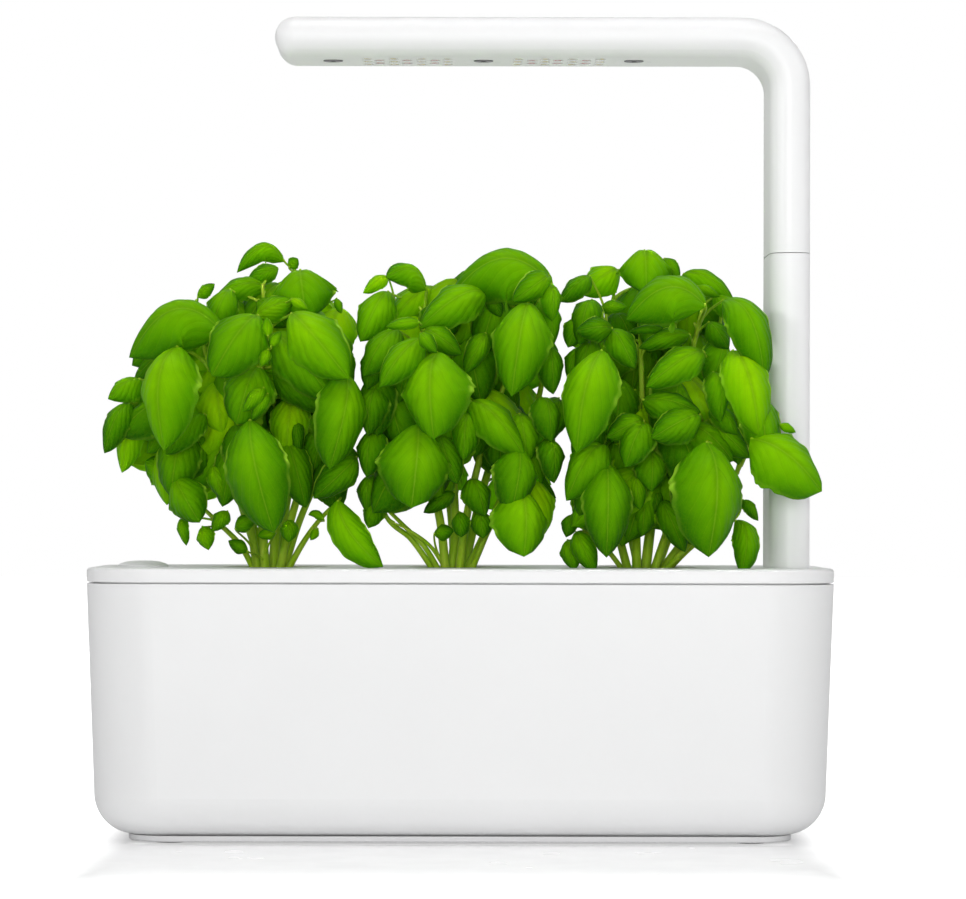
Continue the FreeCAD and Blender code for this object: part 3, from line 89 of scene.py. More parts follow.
# --------------------------------------------------------------- materials
class Mat:
    """A node material with a Principled shader, built by short calls."""

    def __init__(self, name):
        self.m = bpy.data.materials.new(name)
        self.m.use_nodes = True
        self.nt = self.m.node_tree
        self.nt.nodes.clear()
        self.out = self.add("ShaderNodeOutputMaterial")
        self.p = self.add("ShaderNodeBsdfPrincipled")
        self.nt.links.new(self.p.outputs["BSDF"], self.out.inputs["Surface"])
        self._co = None

    def add(self, kind, **sets):
        n = self.nt.nodes.new(kind)
        for k, v in sets.items():
            setattr(n, k, v)
        return n

    def link(self, a, b):
        self.nt.links.new(a, b)

    def coords(self, scale=(1, 1, 1)):
        if self._co is None:
            self._co = self.add("ShaderNodeTexCoord").outputs["Object"]
        if tuple(scale) == (1, 1, 1):
            return self._co
        m = self.add("ShaderNodeMapping")
        m.inputs["Scale"].default_value = scale
        self.link(self._co, m.inputs["Vector"])
        return m.outputs["Vector"]

    def noise(self, scale, detail=3.0, rough=0.55, stretch=(1, 1, 1), distortion=0.0):
        n = self.add("ShaderNodeTexNoise")
        n.inputs["Scale"].default_value = scale
        n.inputs["Detail"].default_value = detail
        n.inputs["Roughness"].default_value = rough
        n.inputs["Distortion"].default_value = distortion
        self.link(self.coords(stretch), n.inputs["Vector"])
        return n.outputs["Fac"]

    def voronoi(self, scale, feature="F1", out="Distance", stretch=(1, 1, 1)):
        n = self.add("ShaderNodeTexVoronoi")
        n.feature = feature
        n.inputs["Scale"].default_value = scale
        self.link(self.coords(stretch), n.inputs["Vector"])
        return n.outputs[out]

    def ramp(self, fac, stops):
        r = self.add("ShaderNodeValToRGB")
        e = r.color_ramp.elements
        while len(e) < len(stops):
            e.new(0.5)
        for s, (pos, c) in zip(e, stops):
            s.position = pos
            s.color = (*c, 1.0) if len(c) == 3 else c
        self.link(fac, r.inputs["Fac"])
        return r.outputs["Color"]

    def span(self, fac, a, b, lo=0.0, hi=1.0, smooth=False):
        r = self.add("ShaderNodeMapRange")
        r.interpolation_type = "SMOOTHSTEP" if smooth else "LINEAR"
        r.inputs["From Min"].default_value = lo
        r.inputs["From Max"].default_value = hi
        r.inputs["To Min"].default_value = a
        r.inputs["To Max"].default_value = b
        self.link(fac, r.inputs["Value"])
        return r.outputs["Result"]

    def math(self, op, a, b=None, c=None):
        n = self.add("ShaderNodeMath", operation=op)
        for k, v in enumerate((a, b, c)):
            if v is None:
                continue
            if isinstance(v, (int, float)):
                n.inputs[k].default_value = v
            else:
                self.link(v, n.inputs[k])
        return n.outputs[0]

    def mix(self, fac, a, b, blend="MIX"):
        n = self.add("ShaderNodeMix", data_type="RGBA", blend_type=blend)
        for sock, v in ((n.inputs[0], fac), (n.inputs[6], a), (n.inputs[7], b)):
            if isinstance(v, (int, float)):
                sock.default_value = v
            elif isinstance(v, tuple):
                sock.default_value = (*v, 1.0) if len(v) == 3 else v
            else:
                self.link(v, sock)
        return n.outputs[2]

    def bump(self, height, strength, distance, under=None):
        b = self.add("ShaderNodeBump")
        b.inputs["Strength"].default_value = strength
        b.inputs["Distance"].default_value = distance
        self.link(height, b.inputs["Height"])
        if under is not None:
            self.link(under, b.inputs["Normal"])
        return b.outputs["Normal"]

    def set(self, **v):
        for k, x in v.items():
            s = self.p.inputs[k.replace("_", " ")]
            if isinstance(x, bpy.types.NodeSocket):
                self.link(x, s)
            else:
                s.default_value = x
        return self


def shade(c, k):
    return tuple(min(1.0, x * k) for x in c)


def moulded(name, colour, rough, grain=0.05, spread=0.012, grain_scale=1500.0):
    """Satin moulded plastic: faint flow clouds, fine texture, uneven sheen."""
    m = Mat(name)
    cloud = m.noise(9.0, 3.0)
    colour_out = m.ramp(
        cloud, [(0.3, shade(colour, 1 - spread)), (0.7, shade(colour, 1 + spread))]
    )
    fine = m.noise(grain_scale, 2.0, 0.6)
    smear = m.noise(42.0, 4.0, 0.6)
    r = m.math(
        "ADD",
        m.span(smear, rough - 0.05, rough + 0.05, 0.25, 0.75),
        m.span(fine, -0.02, 0.02, 0.3, 0.7),
    )
    n = m.bump(m.noise(60.0, 2.0), 0.05, 0.0004)
    n = m.bump(fine, grain, 0.00008, n)
    m.set(Base_Color=colour_out, Roughness=r, Normal=n, IOR=1.49)
    return m


def rubber(name, colour):
    m = Mat(name)
    fine = m.noise(1800.0, 3.0, 0.7)
    dust = m.noise(120.0, 4.0, 0.6)
    m.set(
        Base_Color=m.ramp(dust, [(0.35, colour), (0.75, shade(colour, 1.5))]),
        Roughness=m.span(dust, 0.72, 0.9, 0.3, 0.7),
        Normal=m.bump(fine, 0.35, 0.0001),
        Specular_IOR_Level=0.35,
    )
    return m


def metal(name, colour, rough, stretch=(1, 30, 1), strength=0.15):
    m = Mat(name)
    lines = m.noise(260.0, 3.0, 0.6, stretch)
    blot = m.noise(35.0, 3.0)
    m.set(
        Base_Color=m.ramp(blot, [(0.3, shade(colour, 0.9)), (0.7, shade(colour, 1.08))]),
        Metallic=1.0,
        Roughness=m.span(lines, rough - 0.07, rough + 0.08, 0.3, 0.7),
        Normal=m.bump(lines, strength, 0.00005),
    )
    return m


def lens(name, colour, die):
    m = Mat(name)
    centre = m.voronoi(420.0)
    m.set(
        Base_Color=m.ramp(centre, [(0.0, die), (0.35, die), (0.6, colour)]),
        Roughness=m.span(m.noise(700.0), 0.08, 0.2, 0.3, 0.7),
        Normal=m.bump(m.noise(900.0), 0.05, 0.0001),
        Coat_Weight=0.6,
        Coat_Roughness=0.06,
    )
    return m


def board(name, colour, trace):
    """Solder mask with raised tracks under it."""
    m = Mat(name)
    tracks = m.voronoi(240.0, "DISTANCE_TO_EDGE", "Distance", (1.0, 1.0, 0.2))
    line = m.span(tracks, 1.0, 0.0, 0.02, 0.07, True)
    m.set(
        Base_Color=m.mix(line, colour, trace),
        Roughness=m.span(m.noise(500.0), 0.25, 0.4, 0.3, 0.7),
        Normal=m.bump(line, 0.3, 0.0001),
    )
    return m


def peat(name):
    m = Mat(name)
    fibres = m.noise(650.0, 5.0, 0.7, (1.0, 1.0, 2.2), 1.4)
    lumps = m.voronoi(330.0)
    crumbs = m.noise(1700.0, 4.0, 0.7)
    colour = m.ramp(
        fibres,
        [
            (0.25, (0.014, 0.008, 0.005)),
            (0.45, (0.055, 0.030, 0.016)),
            (0.62, (0.120, 0.070, 0.036)),
            (0.8, (0.235, 0.155, 0.085)),
        ],
    )
    n = m.bump(lumps, 0.9, 0.0012)
    n = m.bump(fibres, 0.9, 0.0008, n)
    n = m.bump(crumbs, 0.6, 0.0003, n)
    m.set(Base_Color=colour, Roughness=m.span(crumbs, 0.82, 0.98, 0.3, 0.7), Normal=n,
          Specular_IOR_Level=0.25)
    return m


def leaf_material(name):
    """Basil leaf: pale midrib and curved side veins by the mesh's own leaf coordinates,
    painted shade along the midrib groove, a painted highlight on the rim facing up, light let through."""
    m = Mat(name)
    a = m.add("ShaderNodeAttribute", attribute_name="leaf_uv")
    sep = m.add("ShaderNodeSeparateXYZ")
    m.link(a.outputs["Vector"], sep.inputs[0])
    along, across, seed = sep.outputs[0], sep.outputs[1], sep.outputs[2]
    # per-vertex colour of the blade: its tone with painted light and shade, darker towards the margin and the tip
    tint = m.add("ShaderNodeAttribute", attribute_name="leaf_tint").outputs["Color"]
    side = m.math("ABSOLUTE", across)
    # side veins leave the midrib and bend hard towards the tip
    sweep = m.math("MULTIPLY", m.math("POWER", side, 1.25), 0.72)
    phase = m.math("MULTIPLY", m.math("SUBTRACT", along, sweep), 5.0)
    wob = m.noise(70.0, 2.0)
    phase = m.math("ADD", phase, m.math("MULTIPLY", wob, 0.5))
    phase = m.math("ADD", phase, seed)
    tri = m.math("MULTIPLY", m.math("PINGPONG", phase, 0.5), 2.0)
    vein = m.span(tri, 1.0, 0.0, 0.0, 0.11, True)
    vein = m.math("MULTIPLY", vein, m.span(side, 1.0, 0.2, 0.35, 0.97))
    rib = m.span(side, 1.0, 0.0, 0.008, 0.038, True)
    # painted shade: a darker band either side of the midrib, in its groove
    painted_groove_shade = m.span(side, 1.0, 0.0, 0.03, 0.16, True)
    # a finer net between the side veins
    net = m.voronoi(560.0, "DISTANCE_TO_EDGE")
    net_line = m.span(net, 1.0, 0.0, 0.0, 0.14, True)
    # painted highlight: the rim of the blade, where it faces up, is mixed towards pale yellow-green as if lit from
    # above and behind
    facing = m.add("ShaderNodeSeparateXYZ")
    m.link(m.add("ShaderNodeNewGeometry").outputs["Normal"], facing.inputs[0])
    faces_up_painted_light = m.span(facing.outputs[2], 0.15, 1.0, -0.2, 0.5)
    painted_rim_highlight = m.math("MULTIPLY", m.span(side, 0.0, 1.0, 0.87, 0.95, True), faces_up_painted_light)
    blot = m.noise(60.0, 4.0, 0.6)
    speck = m.noise(900.0, 3.0, 0.6)
    # long faint streaks between the veins
    streak = m.math("PINGPONG", m.math("MULTIPLY", phase, 4.0), 0.5)
    body = m.mix(m.span(blot, 0.0, 0.6, 0.32, 0.72), tint, m.mix(1.0, tint, (0.58, 0.76, 0.5), "MULTIPLY"))
    body = m.mix(m.math("MULTIPLY", streak, 0.22), body, m.mix(1.0, body, (0.55, 0.72, 0.5), "MULTIPLY"))
    body = m.mix(m.span(speck, 0.0, 0.12, 0.3, 0.75), body, (0.22, 0.45, 0.004))
    body = m.mix(m.math("MULTIPLY", net_line, 0.08), body, (0.26, 0.52, 0.01))
    body = m.mix(m.math("MULTIPLY", vein, 0.16), body, (0.34, 0.60, 0.02))
    # painted shade in the midrib groove
    body = m.mix(m.math("MULTIPLY", painted_groove_shade, 0.35), body, m.mix(1.0, body, (0.45, 0.62, 0.4), "MULTIPLY"))
    body = m.mix(m.math("MULTIPLY", rib, 0.30), body, (0.40, 0.62, 0.04))
    # painted rim highlight
    body = m.mix(m.math("MULTIPLY", painted_rim_highlight, 0.8), body, (0.50, 0.80, 0.06))
    dome = m.math("POWER", tri, 0.6)
    n = m.bump(dome, 0.35, 0.0011)
    n = m.bump(m.math("SUBTRACT", 1.0, rib), 0.35, 0.0004, n)
    n = m.bump(net, 0.15, 0.0003, n)
    n = m.bump(speck, 0.10, 0.00015, n)
    m.set(
        Base_Color=body,
        Roughness=m.math("ADD", m.span(blot, 0.38, 0.52, 0.3, 0.7), m.math("MULTIPLY", vein, 0.06)),
        Normal=n,
        Specular_IOR_Level=0.12,
        Specular_Tint=(0.55, 1.0, 0.10, 1.0),
    )
    glow = m.add("ShaderNodeBsdfTranslucent")
    m.link(m.mix(1.0, body, (2.3, 1.9, 0.5), "MULTIPLY"), glow.inputs["Color"])
    m.link(n, glow.inputs["Normal"])
    both = m.add("ShaderNodeMixShader")
    both.inputs["Fac"].default_value = 0.34
    m.link(m.p.outputs["BSDF"], both.inputs[1])
    m.link(glow.outputs["BSDF"], both.inputs[2])
    m.link(both.outputs["Shader"], m.out.inputs["Surface"])
    return m


def stem_material(name):
    m = Mat(name)
    ridges = m.noise(260.0, 3.0, 0.6, (1.0, 1.0, 0.12))
    blot = m.noise(45.0, 4.0, 0.6)
    hairs = m.noise(2200.0, 2.0, 0.7)
    colour = m.ramp(
        blot,
        [(0.25, (0.16, 0.36, 0.006)), (0.5, (0.32, 0.56, 0.012)), (0.8, (0.52, 0.74, 0.04))],
    )
    colour = m.mix(m.span(ridges, 0.0, 0.5, 0.35, 0.7), colour, (0.62, 0.80, 0.10))
    n = m.bump(ridges, 0.5, 0.0004)
    n = m.bump(hairs, 0.25, 0.00015, n)
    m.set(Base_Color=colour, Roughness=m.span(ridges, 0.42, 0.6, 0.3, 0.7), Normal=n,
          Specular_IOR_Level=0.25, Specular_Tint=(0.7, 1.0, 0.3, 1.0),
          Subsurface_Weight=0.25, Subsurface_Radius=(0.0012, 0.002, 0.0004),
          Subsurface_Scale=1.0)
    return m


MATS = {
    "white_shell": moulded("satin_white", (0.915, 0.917, 0.918), 0.36),
    "grey_base": moulded("pale_grey", (0.80, 0.80, 0.805), 0.5, 0.12),
    "dark_rubber": rubber("dark_rubber", (0.05, 0.05, 0.052)),
    "steel_screw": metal("zinc", (0.62, 0.62, 0.63), 0.3),
    "black_screw": moulded("black_oxide", (0.03, 0.03, 0.032), 0.36, 0.2, 0.15),
    "inner_plastic": moulded("natural_plastic", (0.78, 0.79, 0.78), 0.45, 0.1),
    "black_plastic": moulded("black_plastic", (0.03, 0.03, 0.032), 0.45, 0.2, 0.15),
    "contact_metal": metal("plated_brass", (0.80, 0.64, 0.36), 0.22),
    "wire_jacket": moulded("wire_jacket", (0.48, 0.05, 0.045), 0.3, 0.08, 0.06),
    "float_foam": moulded("closed_foam", (0.88, 0.88, 0.86), 0.7, 0.5, 0.02, 700.0),
    "cup_plastic": moulded("cup_plastic", (0.84, 0.85, 0.80), 0.4, 0.08),
    "growing_medium": peat("peat"),
    "led_board": board("led_board", (0.84, 0.84, 0.82), (0.76, 0.77, 0.73)),
    "white_lens": lens("white_led", (0.84, 0.83, 0.74), (0.80, 0.68, 0.22)),
    "red_lens": lens("red_led", (0.84, 0.62, 0.58), (0.62, 0.12, 0.10)),
    "spreader_aluminium": metal("mill_aluminium", (0.78, 0.78, 0.79), 0.32, (20, 1, 1)),
    "driver_green": board("driver_board", (0.03, 0.17, 0.07), (0.07, 0.27, 0.12)),
}
LEAF = leaf_material("basil_leaf")
STEM = stem_material("basil_stem")

slots = {s["node"]: s["material_slot"] for s in frame["record"]["subparts"]}
for name, obj in nodes.items():
    m = MATS.get(slots[name])
    if m is None:
        m = STEM if slots[name] == "stem" else LEAF
    obj.data.materials.clear()
    obj.data.materials.append(m.m)


# ------------------------------------------------------------ mesh builder
class Builder:
    """Collects closed pieces of mesh and makes one object of them."""

    def __init__(self):
        self.co, self.quads, self.tris = [], [], []
        self.uv, self.tint, self.rim = [], [], []
        self.n = 0

    def put(self, co, quads, tris=(), uv=None, tint=None, rim=None):
        k = len(co)
        self.co.append(co)
        if len(quads):
            self.quads.append(np.asarray(quads) + self.n)
        if len(tris):
            self.tris.append(np.asarray(tris) + self.n)
        self.uv.append(np.zeros((k, 3)) if uv is None else uv)
        self.tint.append(np.ones((k, 4)) if tint is None else tint)
        self.rim.append(np.zeros(k, bool) if rim is None else rim)
        self.n += k

    def make(self, name, material, attributes=True):
        co = np.concatenate(self.co)
        q = np.concatenate(self.quads) if self.quads else np.zeros((0, 4), int)
        t = np.concatenate(self.tris) if self.tris else np.zeros((0, 3), int)
        me = bpy.data.meshes.new(name)
        me.vertices.add(len(co))
        me.vertices.foreach_set("co", co.astype(np.float32).ravel())
        loops = np.concatenate([q.ravel(), t.ravel()])
        me.loops.add(len(loops))
        me.loops.foreach_set("vertex_index", loops.astype(np.int32))
        starts = np.concatenate([np.arange(len(q)) * 4, len(q) * 4 + np.arange(len(t)) * 3])
        me.polygons.add(len(starts))
        me.polygons.foreach_set("loop_start", starts.astype(np.int32))
        me.update(calc_edges=True)
        me.validate()
        me.polygons.foreach_set("use_smooth", np.ones(len(me.polygons), bool))
        if attributes:
            a = me.attributes.new("leaf_uv", "FLOAT_VECTOR", "POINT")
            a.data.foreach_set("vector", np.concatenate(self.uv).astype(np.float32).ravel())
            # per-vertex leaf colour, with painted light and shade in it
            a = me.attributes.new("leaf_tint", "FLOAT_COLOR", "POINT")
            a.data.foreach_set("color", np.concatenate(self.tint).astype(np.float32).ravel())
            # the rims stay sharp, so a blade isn't shaded dark towards them
            ends = np.empty(len(me.edges) * 2, np.int32)
            me.edges.foreach_get("vertices", ends)
            rim = np.concatenate(self.rim)[ends.reshape(-1, 2)].all(1)
            me.attributes.new("sharp_edge", "BOOLEAN", "EDGE").data.foreach_set("value", rim)
        me.materials.append(material.m)
        ob = bpy.data.objects.new(name, me)
        scene.collection.objects.link(ob)
        return ob


def unit(v):
    return v / max(1e-12, np.linalg.norm(v))


def bezier(p, n):
    """Points along a smooth curve through the rows of p (Catmull-Rom)."""
    p = np.asarray(p, float)
    q = np.vstack([2 * p[0] - p[1], p, 2 * p[-1] - p[-2]])
    out = []
    spans = len(p) - 1
    for i in range(spans):
        a, b, c, d = q[i : i + 4]
        for t in np.linspace(0, 1, n, endpoint=False):
            out.append(
                0.5
                * (
                    2 * b
                    + (c - a) * t
                    + (2 * a - 5 * b + 4 * c - d) * t * t
                    + (3 * b - a - 3 * c + d) * t**3
                )
            )
    out.append(p[-1])
    return np.array(out)


def tube(build, path, radii, sides=9, flute=0.06):
    """A closed tube along a path, slightly fluted, with rounded ends."""
    path = np.asarray(path, float)
    n = len(path)
    r = np.interp(np.linspace(0, 1, n), np.linspace(0, 1, len(radii)), radii)
    tangents = np.gradient(path, axis=0)
    tangents /= np.maximum(1e-12, np.linalg.norm(tangents, axis=1))[:, None]
    ref = np.array([1.0, 0.0, 0.0])
    if abs(tangents[0] @ ref) > 0.9:
        ref = np.array([0.0, 1.0, 0.0])
    rings = []
    ang = np.linspace(0, 2 * math.pi, sides, endpoint=False)
    wave = 1 + flute * np.cos(4 * ang)
    for k in range(n):
        ref = unit(ref - (ref @ tangents[k]) * tangents[k])
        other = np.cross(tangents[k], ref)
        rings.append(
            path[k]
            + r[k] * (np.cos(ang) * wave)[:, None] * ref
            + r[k] * (np.sin(ang) * wave)[:, None] * other
        )
    co = np.vstack(rings + [path[0] - tangents[0] * r[0] * 0.5, path[-1] + tangents[-1] * r[-1] * 0.6])
    i = np.arange(n - 1)[:, None] * sides
    j = np.arange(sides)[None, :]
    jn = (j + 1) % sides
    quads = np.stack([i + j, i + jn, i + sides + jn, i + sides + j], -1).reshape(-1, 4)
    jj = np.arange(sides)
    jn = (jj + 1) % sides
    first = np.stack([jn, jj, np.full(sides, n * sides)], -1)
    last = np.stack(
        [(n - 1) * sides + jj, (n - 1) * sides + jn, np.full(sides, n * sides + 1)], -1
    )
    build.put(co, quads, np.vstack([first, last]))


# Leaf colours from deep shaded green to bright backlit yellow-green: partly the leaves' own colour, partly painted
# light and shade for how lit each leaf is
TONES_WITH_PAINTED_LIGHT = np.array(
    [
        [0.021, 0.142, 0.003],
        [0.071, 0.292, 0.001],
        [0.185, 0.500, 0.001],
        [0.340, 0.690, 0.001],
        [0.560, 0.880, 0.002],
    ]
)


def tone(t):
    t = min(0.999, max(0.0, t)) * 4
    k = int(t)
    return TONES_WITH_PAINTED_LIGHT[k] + (TONES_WITH_PAINTED_LIGHT[k + 1] - TONES_WITH_PAINTED_LIGHT[k]) * (t - k)


def leaf_grid(rows, cols):
    """Faces of a closed leaf: a top grid and a bottom grid that share the rim."""
    top = np.arange((rows + 1) * (cols + 1)).reshape(rows + 1, cols + 1)
    bottom = top.copy()
    inner = np.arange((rows - 1) * (cols - 1)).reshape(rows - 1, cols - 1)
    bottom[1:-1, 1:-1] = inner + top.size
    q = []
    for g, flip in ((top, False), (bottom, True)):
        a, b, c, d = g[:-1, :-1], g[:-1, 1:], g[1:, 1:], g[1:, :-1]
        f = np.stack([a, b, c, d] if not flip else [d, c, b, a], -1).reshape(-1, 4)
        q.append(f)
    return np.vstack(q)


_grids = {}


def leaf(build, B, T, width, rng, up=0.15, sx=0.0, arch=0.20, cup=0.70, mid=(0.0, 0.0, 0.0),
         quilt=0.45, wave=0.04, pointed=0.80, blunt=0.46, tone_with_painted_light=0.5, rows=30, cols=14,
         back=False, fold=0.0, curl=0.0, lopsided=0.0, hood=0.0):
    """One leaf from base B to tip T, in metres, with its real width."""
    B, T = np.asarray(B, float), np.asarray(T, float)
    mid = np.asarray(mid, float)
    axis = T - B
    L = np.linalg.norm(axis)
    u = axis / L
    want = np.array([sx, 1.0 if back else -1.0, up])
    n0 = unit(want - (want @ u) * u)
    s = np.linspace(0, 1, rows + 1)
    bow = 4 * s * (1 - s)
    # a hooded leaf runs forward first, then hangs down
    deep = (1 - hood) * s + hood * np.sin(s * math.pi / 2)
    flat = (1 - hood) * s + hood * (1 - np.cos(s * math.pi / 2))
    C = B + axis * np.stack([flat, deep, flat], 1) + mid * bow[:, None] + n0 * (arch * L * np.sin(math.pi * s**0.85))[:, None]
    # the tip turns in
    C = C - n0 * ((curl + 0.05) * L * np.clip((s - 0.6) / 0.4, 0, 1) ** 2)[:, None]
    tang = np.gradient(C, axis=0)
    tang /= np.linalg.norm(tang, axis=1)[:, None]
    nor = n0 - (tang @ n0)[:, None] * tang
    nor /= np.linalg.norm(nor, axis=1)[:, None]
    acr = np.cross(tang, nor)
    # a full, rounded blade with a short drawn-out tip; the foreshortened base
    # of a hooded leaf moves its widest part down
    widest = 0.42 + 0.14 * hood + 0.3 * (blunt - 0.46)
    x = 2 * s ** (math.log(0.5) / math.log(widest)) - 1
    point = 0.38 + 0.5 * max(0.0, pointed - 0.65)
    prof = np.where(
        x < 0,
        np.clip(1 - np.abs(x) ** 2.3, 0, 1) ** 0.42,
        np.clip(1 - np.abs(x) ** 2.1, 0, 1) ** point,
    )
    if pointed > 0.6:
        prof = prof * (1 - 0.30 * np.exp(-(((1 - s) / 0.06) ** 2)))
    prof = prof * (1 + 0.025 * np.sin(2 * math.pi * (s * 5 + rng.random())))
    half = np.maximum(width / 2 * prof, 0.0003)
    half[-1] = 0.00012
    v = np.linspace(-1, 1, cols + 1)
    vv = v[None, :]
    hh = half[:, None]
    ss = s[:, None]
    side = np.abs(vv)
    drop = cup * hh * side**2.0 + fold * hh * side
    # puffed fields between the side veins
    offset = rng.random() * 0.6
    phase = 5.0 * (ss - 0.72 * side**1.25) + offset + 0.25
    if quilt > 1.2:
        phase = 7.0 * (ss - 0.4 * side) + offset
    field = np.abs(np.sin(math.pi * phase)) ** 0.8
    puff = quilt * width * 0.030 * field * np.clip(side * 3.2, 0, 1) * (1 - side**3) * (prof / prof.max())[:, None]
    groove = width * 0.026 * np.exp(-((vv / 0.12) ** 2)) * (prof / prof.max())[:, None]
    w0, w1 = rng.random() * 6.3, rng.random() * 6.3
    ruffle = wave * width * side**3 * (
        np.sin(2 * math.pi * 2.2 * ss + w0) * (vv > 0) + np.sin(2 * math.pi * 2.5 * ss + w1) * (vv < 0)
    ) * np.clip(4 * ss * (1 - ss), 0, 1)
    squeeze = 1 - 0.05 * cup
    wide = hh * vv * squeeze * (1 + lopsided * np.sign(vv))
    off = puff - groove - drop + ruffle
    top = C[:, None, :] + acr[:, None, :] * wide[..., None] + nor[:, None, :] * off[..., None]
    thick = 0.00042 * (1 - side**4) * np.clip(np.minimum(ss, 1 - ss) * 12, 0.2, 1) + 0.0009 * np.exp(
        -((vv / 0.07) ** 2)
    ) * (1 - ss) * np.clip(half[:, None] / 0.006, 0.2, 1)
    bottom = (top - nor[:, None, :] * thick[..., None])[1:-1, 1:-1]
    co = np.vstack([top.reshape(-1, 3), bottom.reshape(-1, 3)])
    key = (rows, cols)
    if key not in _grids:
        _grids[key] = leaf_grid(rows, cols)
    uv_top = np.stack(np.broadcast_arrays(ss, vv, np.full_like(ss * vv, offset)), -1)
    uv = np.vstack([uv_top.reshape(-1, 3), uv_top[1:-1, 1:-1].reshape(-1, 3)])
    # painted shade: lighter along the middle, darker deep green towards the margin and the tip, where the domed blade
    # turns away from the light
    painted_shade_grade = (0.17 - 0.42 * side**2 - 0.30 * (ss - 0.42) ** 2 / 0.3 - 0.06 * ss + 0 * vv).ravel()
    steps = np.clip(tone_with_painted_light + painted_shade_grade, 0, 0.999) * 4
    at_ = steps.astype(int)
    c = TONES_WITH_PAINTED_LIGHT[at_] + (TONES_WITH_PAINTED_LIGHT[at_ + 1] - TONES_WITH_PAINTED_LIGHT[at_]) * (steps - at_)[:, None]
    tint = np.ones((len(co), 4))
    k = (rows + 1) * (cols + 1)
    tint[:k, :3] = c
    tint[k:, :3] = tone(tone_with_painted_light + 0.1) * 0.6 + np.array([0.20, 0.42, 0.02]) * 0.4
    rim = np.zeros((rows + 1, cols + 1), bool)
    rim[0], rim[-1], rim[:, 0], rim[:, -1] = True, True, True, True
    build.put(co, _grids[key], (), uv, tint, np.concatenate([rim.ravel(), np.zeros(len(co) - k, bool)]))
    return top, C


# ------------------------------------------------------------------ plants
# Main stems: pixel x, pixel y, depth in mm, from the medium upwards; radii
STEMS = {
    "left": [
        ([(258, 570, -6), (251, 528, -10), (243, 480, -20), (226, 415, -24), (205, 352, -20), (196, 300, -14)], 1.25),
        ([(266, 570, -8), (262, 520, -14), (258, 440, -22), (262, 365, -30), (264, 318, -30), (262, 285, -14)], 1.35),
        ([(273, 570, 0), (278, 510, -2), (287, 430, -8), (296, 340, -12), (300, 272, -10)], 1.5),
        ([(279, 570, -7), (291, 520, -14), (309, 462, -20), (332, 398, -24), (346, 350, -20)], 1.25),
        ([(270, 570, 5), (250, 520, 8), (212, 460, 8), (180, 410, 2), (158, 362, -6)], 1.2),
        ([(283, 570, 3), (300, 520, 8), (322, 470, 6), (342, 420, -2), (348, 372, -12)], 1.1),
        ([(276, 570, 8), (287, 500, 24), (300, 420, 32), (296, 340, 30), (290, 300, 24)], 1.3),
        ([(264, 570, 6), (240, 500, 22), (222, 430, 32), (212, 360, 30), (205, 320, 22)], 1.2),
        ([(256, 570, -4), (240, 545, -10), (215, 520, -16), (196, 500, -20), (178, 470, -18)], 0.9),
        ([(286, 570, -5), (302, 545, -12), (318, 522, -18), (338, 500, -26), (352, 478, -26)], 0.95),
    ],
    "middle": [
        ([(441, 570, -6), (424, 546, -10), (400, 522, -14), (380, 500, -18), (372, 470, -18)], 0.85),
        ([(446, 570, -7), (440, 520, -14), (426, 460, -22), (416, 400, -28), (422, 338, -30), (426, 292, -18)], 1.3),
        ([(452, 570, 0), (455, 520, -6), (451, 440, -14), (447, 352, -28), (440, 290, -12)], 1.4),
        ([(459, 570, -6), (466, 520, -12), (482, 450, -20), (506, 380, -22), (534, 310, -22)], 1.3),
        ([(466, 570, 3), (488, 528, -2), (514, 470, -10), (538, 400, -10), (548, 330, -10), (549, 280, -8)], 1.3),
        ([(455, 570, 8), (449, 500, 22), (430, 420, 30), (402, 350, 26), (395, 305, 18)], 1.2),
        ([(463, 570, 7), (480, 500, 24), (500, 420, 32), (498, 340, 30), (490, 290, 22)], 1.3),
        ([(449, 570, -8), (432, 548, -14), (412, 532, -20), (392, 522, -22)], 0.7),
        ([(470, 570, -4), (480, 550, -10), (492, 525, -16), (512, 500, -22), (520, 488, -24)], 0.95),
        ([(436, 570, -2), (412, 540, -6), (384, 512, -8), (372, 440, -14), (370, 375, -18)], 0.9),
    ],
    "right": [
        ([(629, 570, -6), (617, 528, -12), (603, 470, -20), (600, 400, -26), (604, 350, -28), (606, 318, -20)], 1.25),
        ([(637, 570, -7), (636, 510, -14), (641, 450, -24), (642, 400, -26), (640, 330, -18), (643, 262, -8)], 1.35),
        ([(645, 570, 0), (654, 505, -4), (671, 430, -14), (692, 350, -20), (704, 300, -18)], 1.5),
        ([(653, 570, -6), (672, 520, -14), (697, 465, -26), (709, 410, -28), (716, 360, -20), (722, 302, -10)], 1.3),
        ([(659, 570, 3), (690, 530, -4), (724, 470, -14), (746, 405, -20), (742, 350, -16)], 1.2),
        ([(640, 570, 8), (624, 500, 24), (610, 420, 32), (604, 350, 28), (612, 300, 18)], 1.3),
        ([(655, 570, 7), (680, 500, 26), (694, 420, 34), (694, 340, 30), (690, 290, 20)], 1.3),
        ([(662, 570, -6), (692, 540, -24), (722, 500, -34), (742, 462, -38), (752, 442, -40)], 1.0),
        ([(626, 570, -2), (606, 548, -8), (588, 532, -14), (570, 520, -18)], 0.8),
        ([(664, 570, -3), (690, 548, -12), (716, 530, -20), (735, 518, -24)], 0.85),
    ],
}
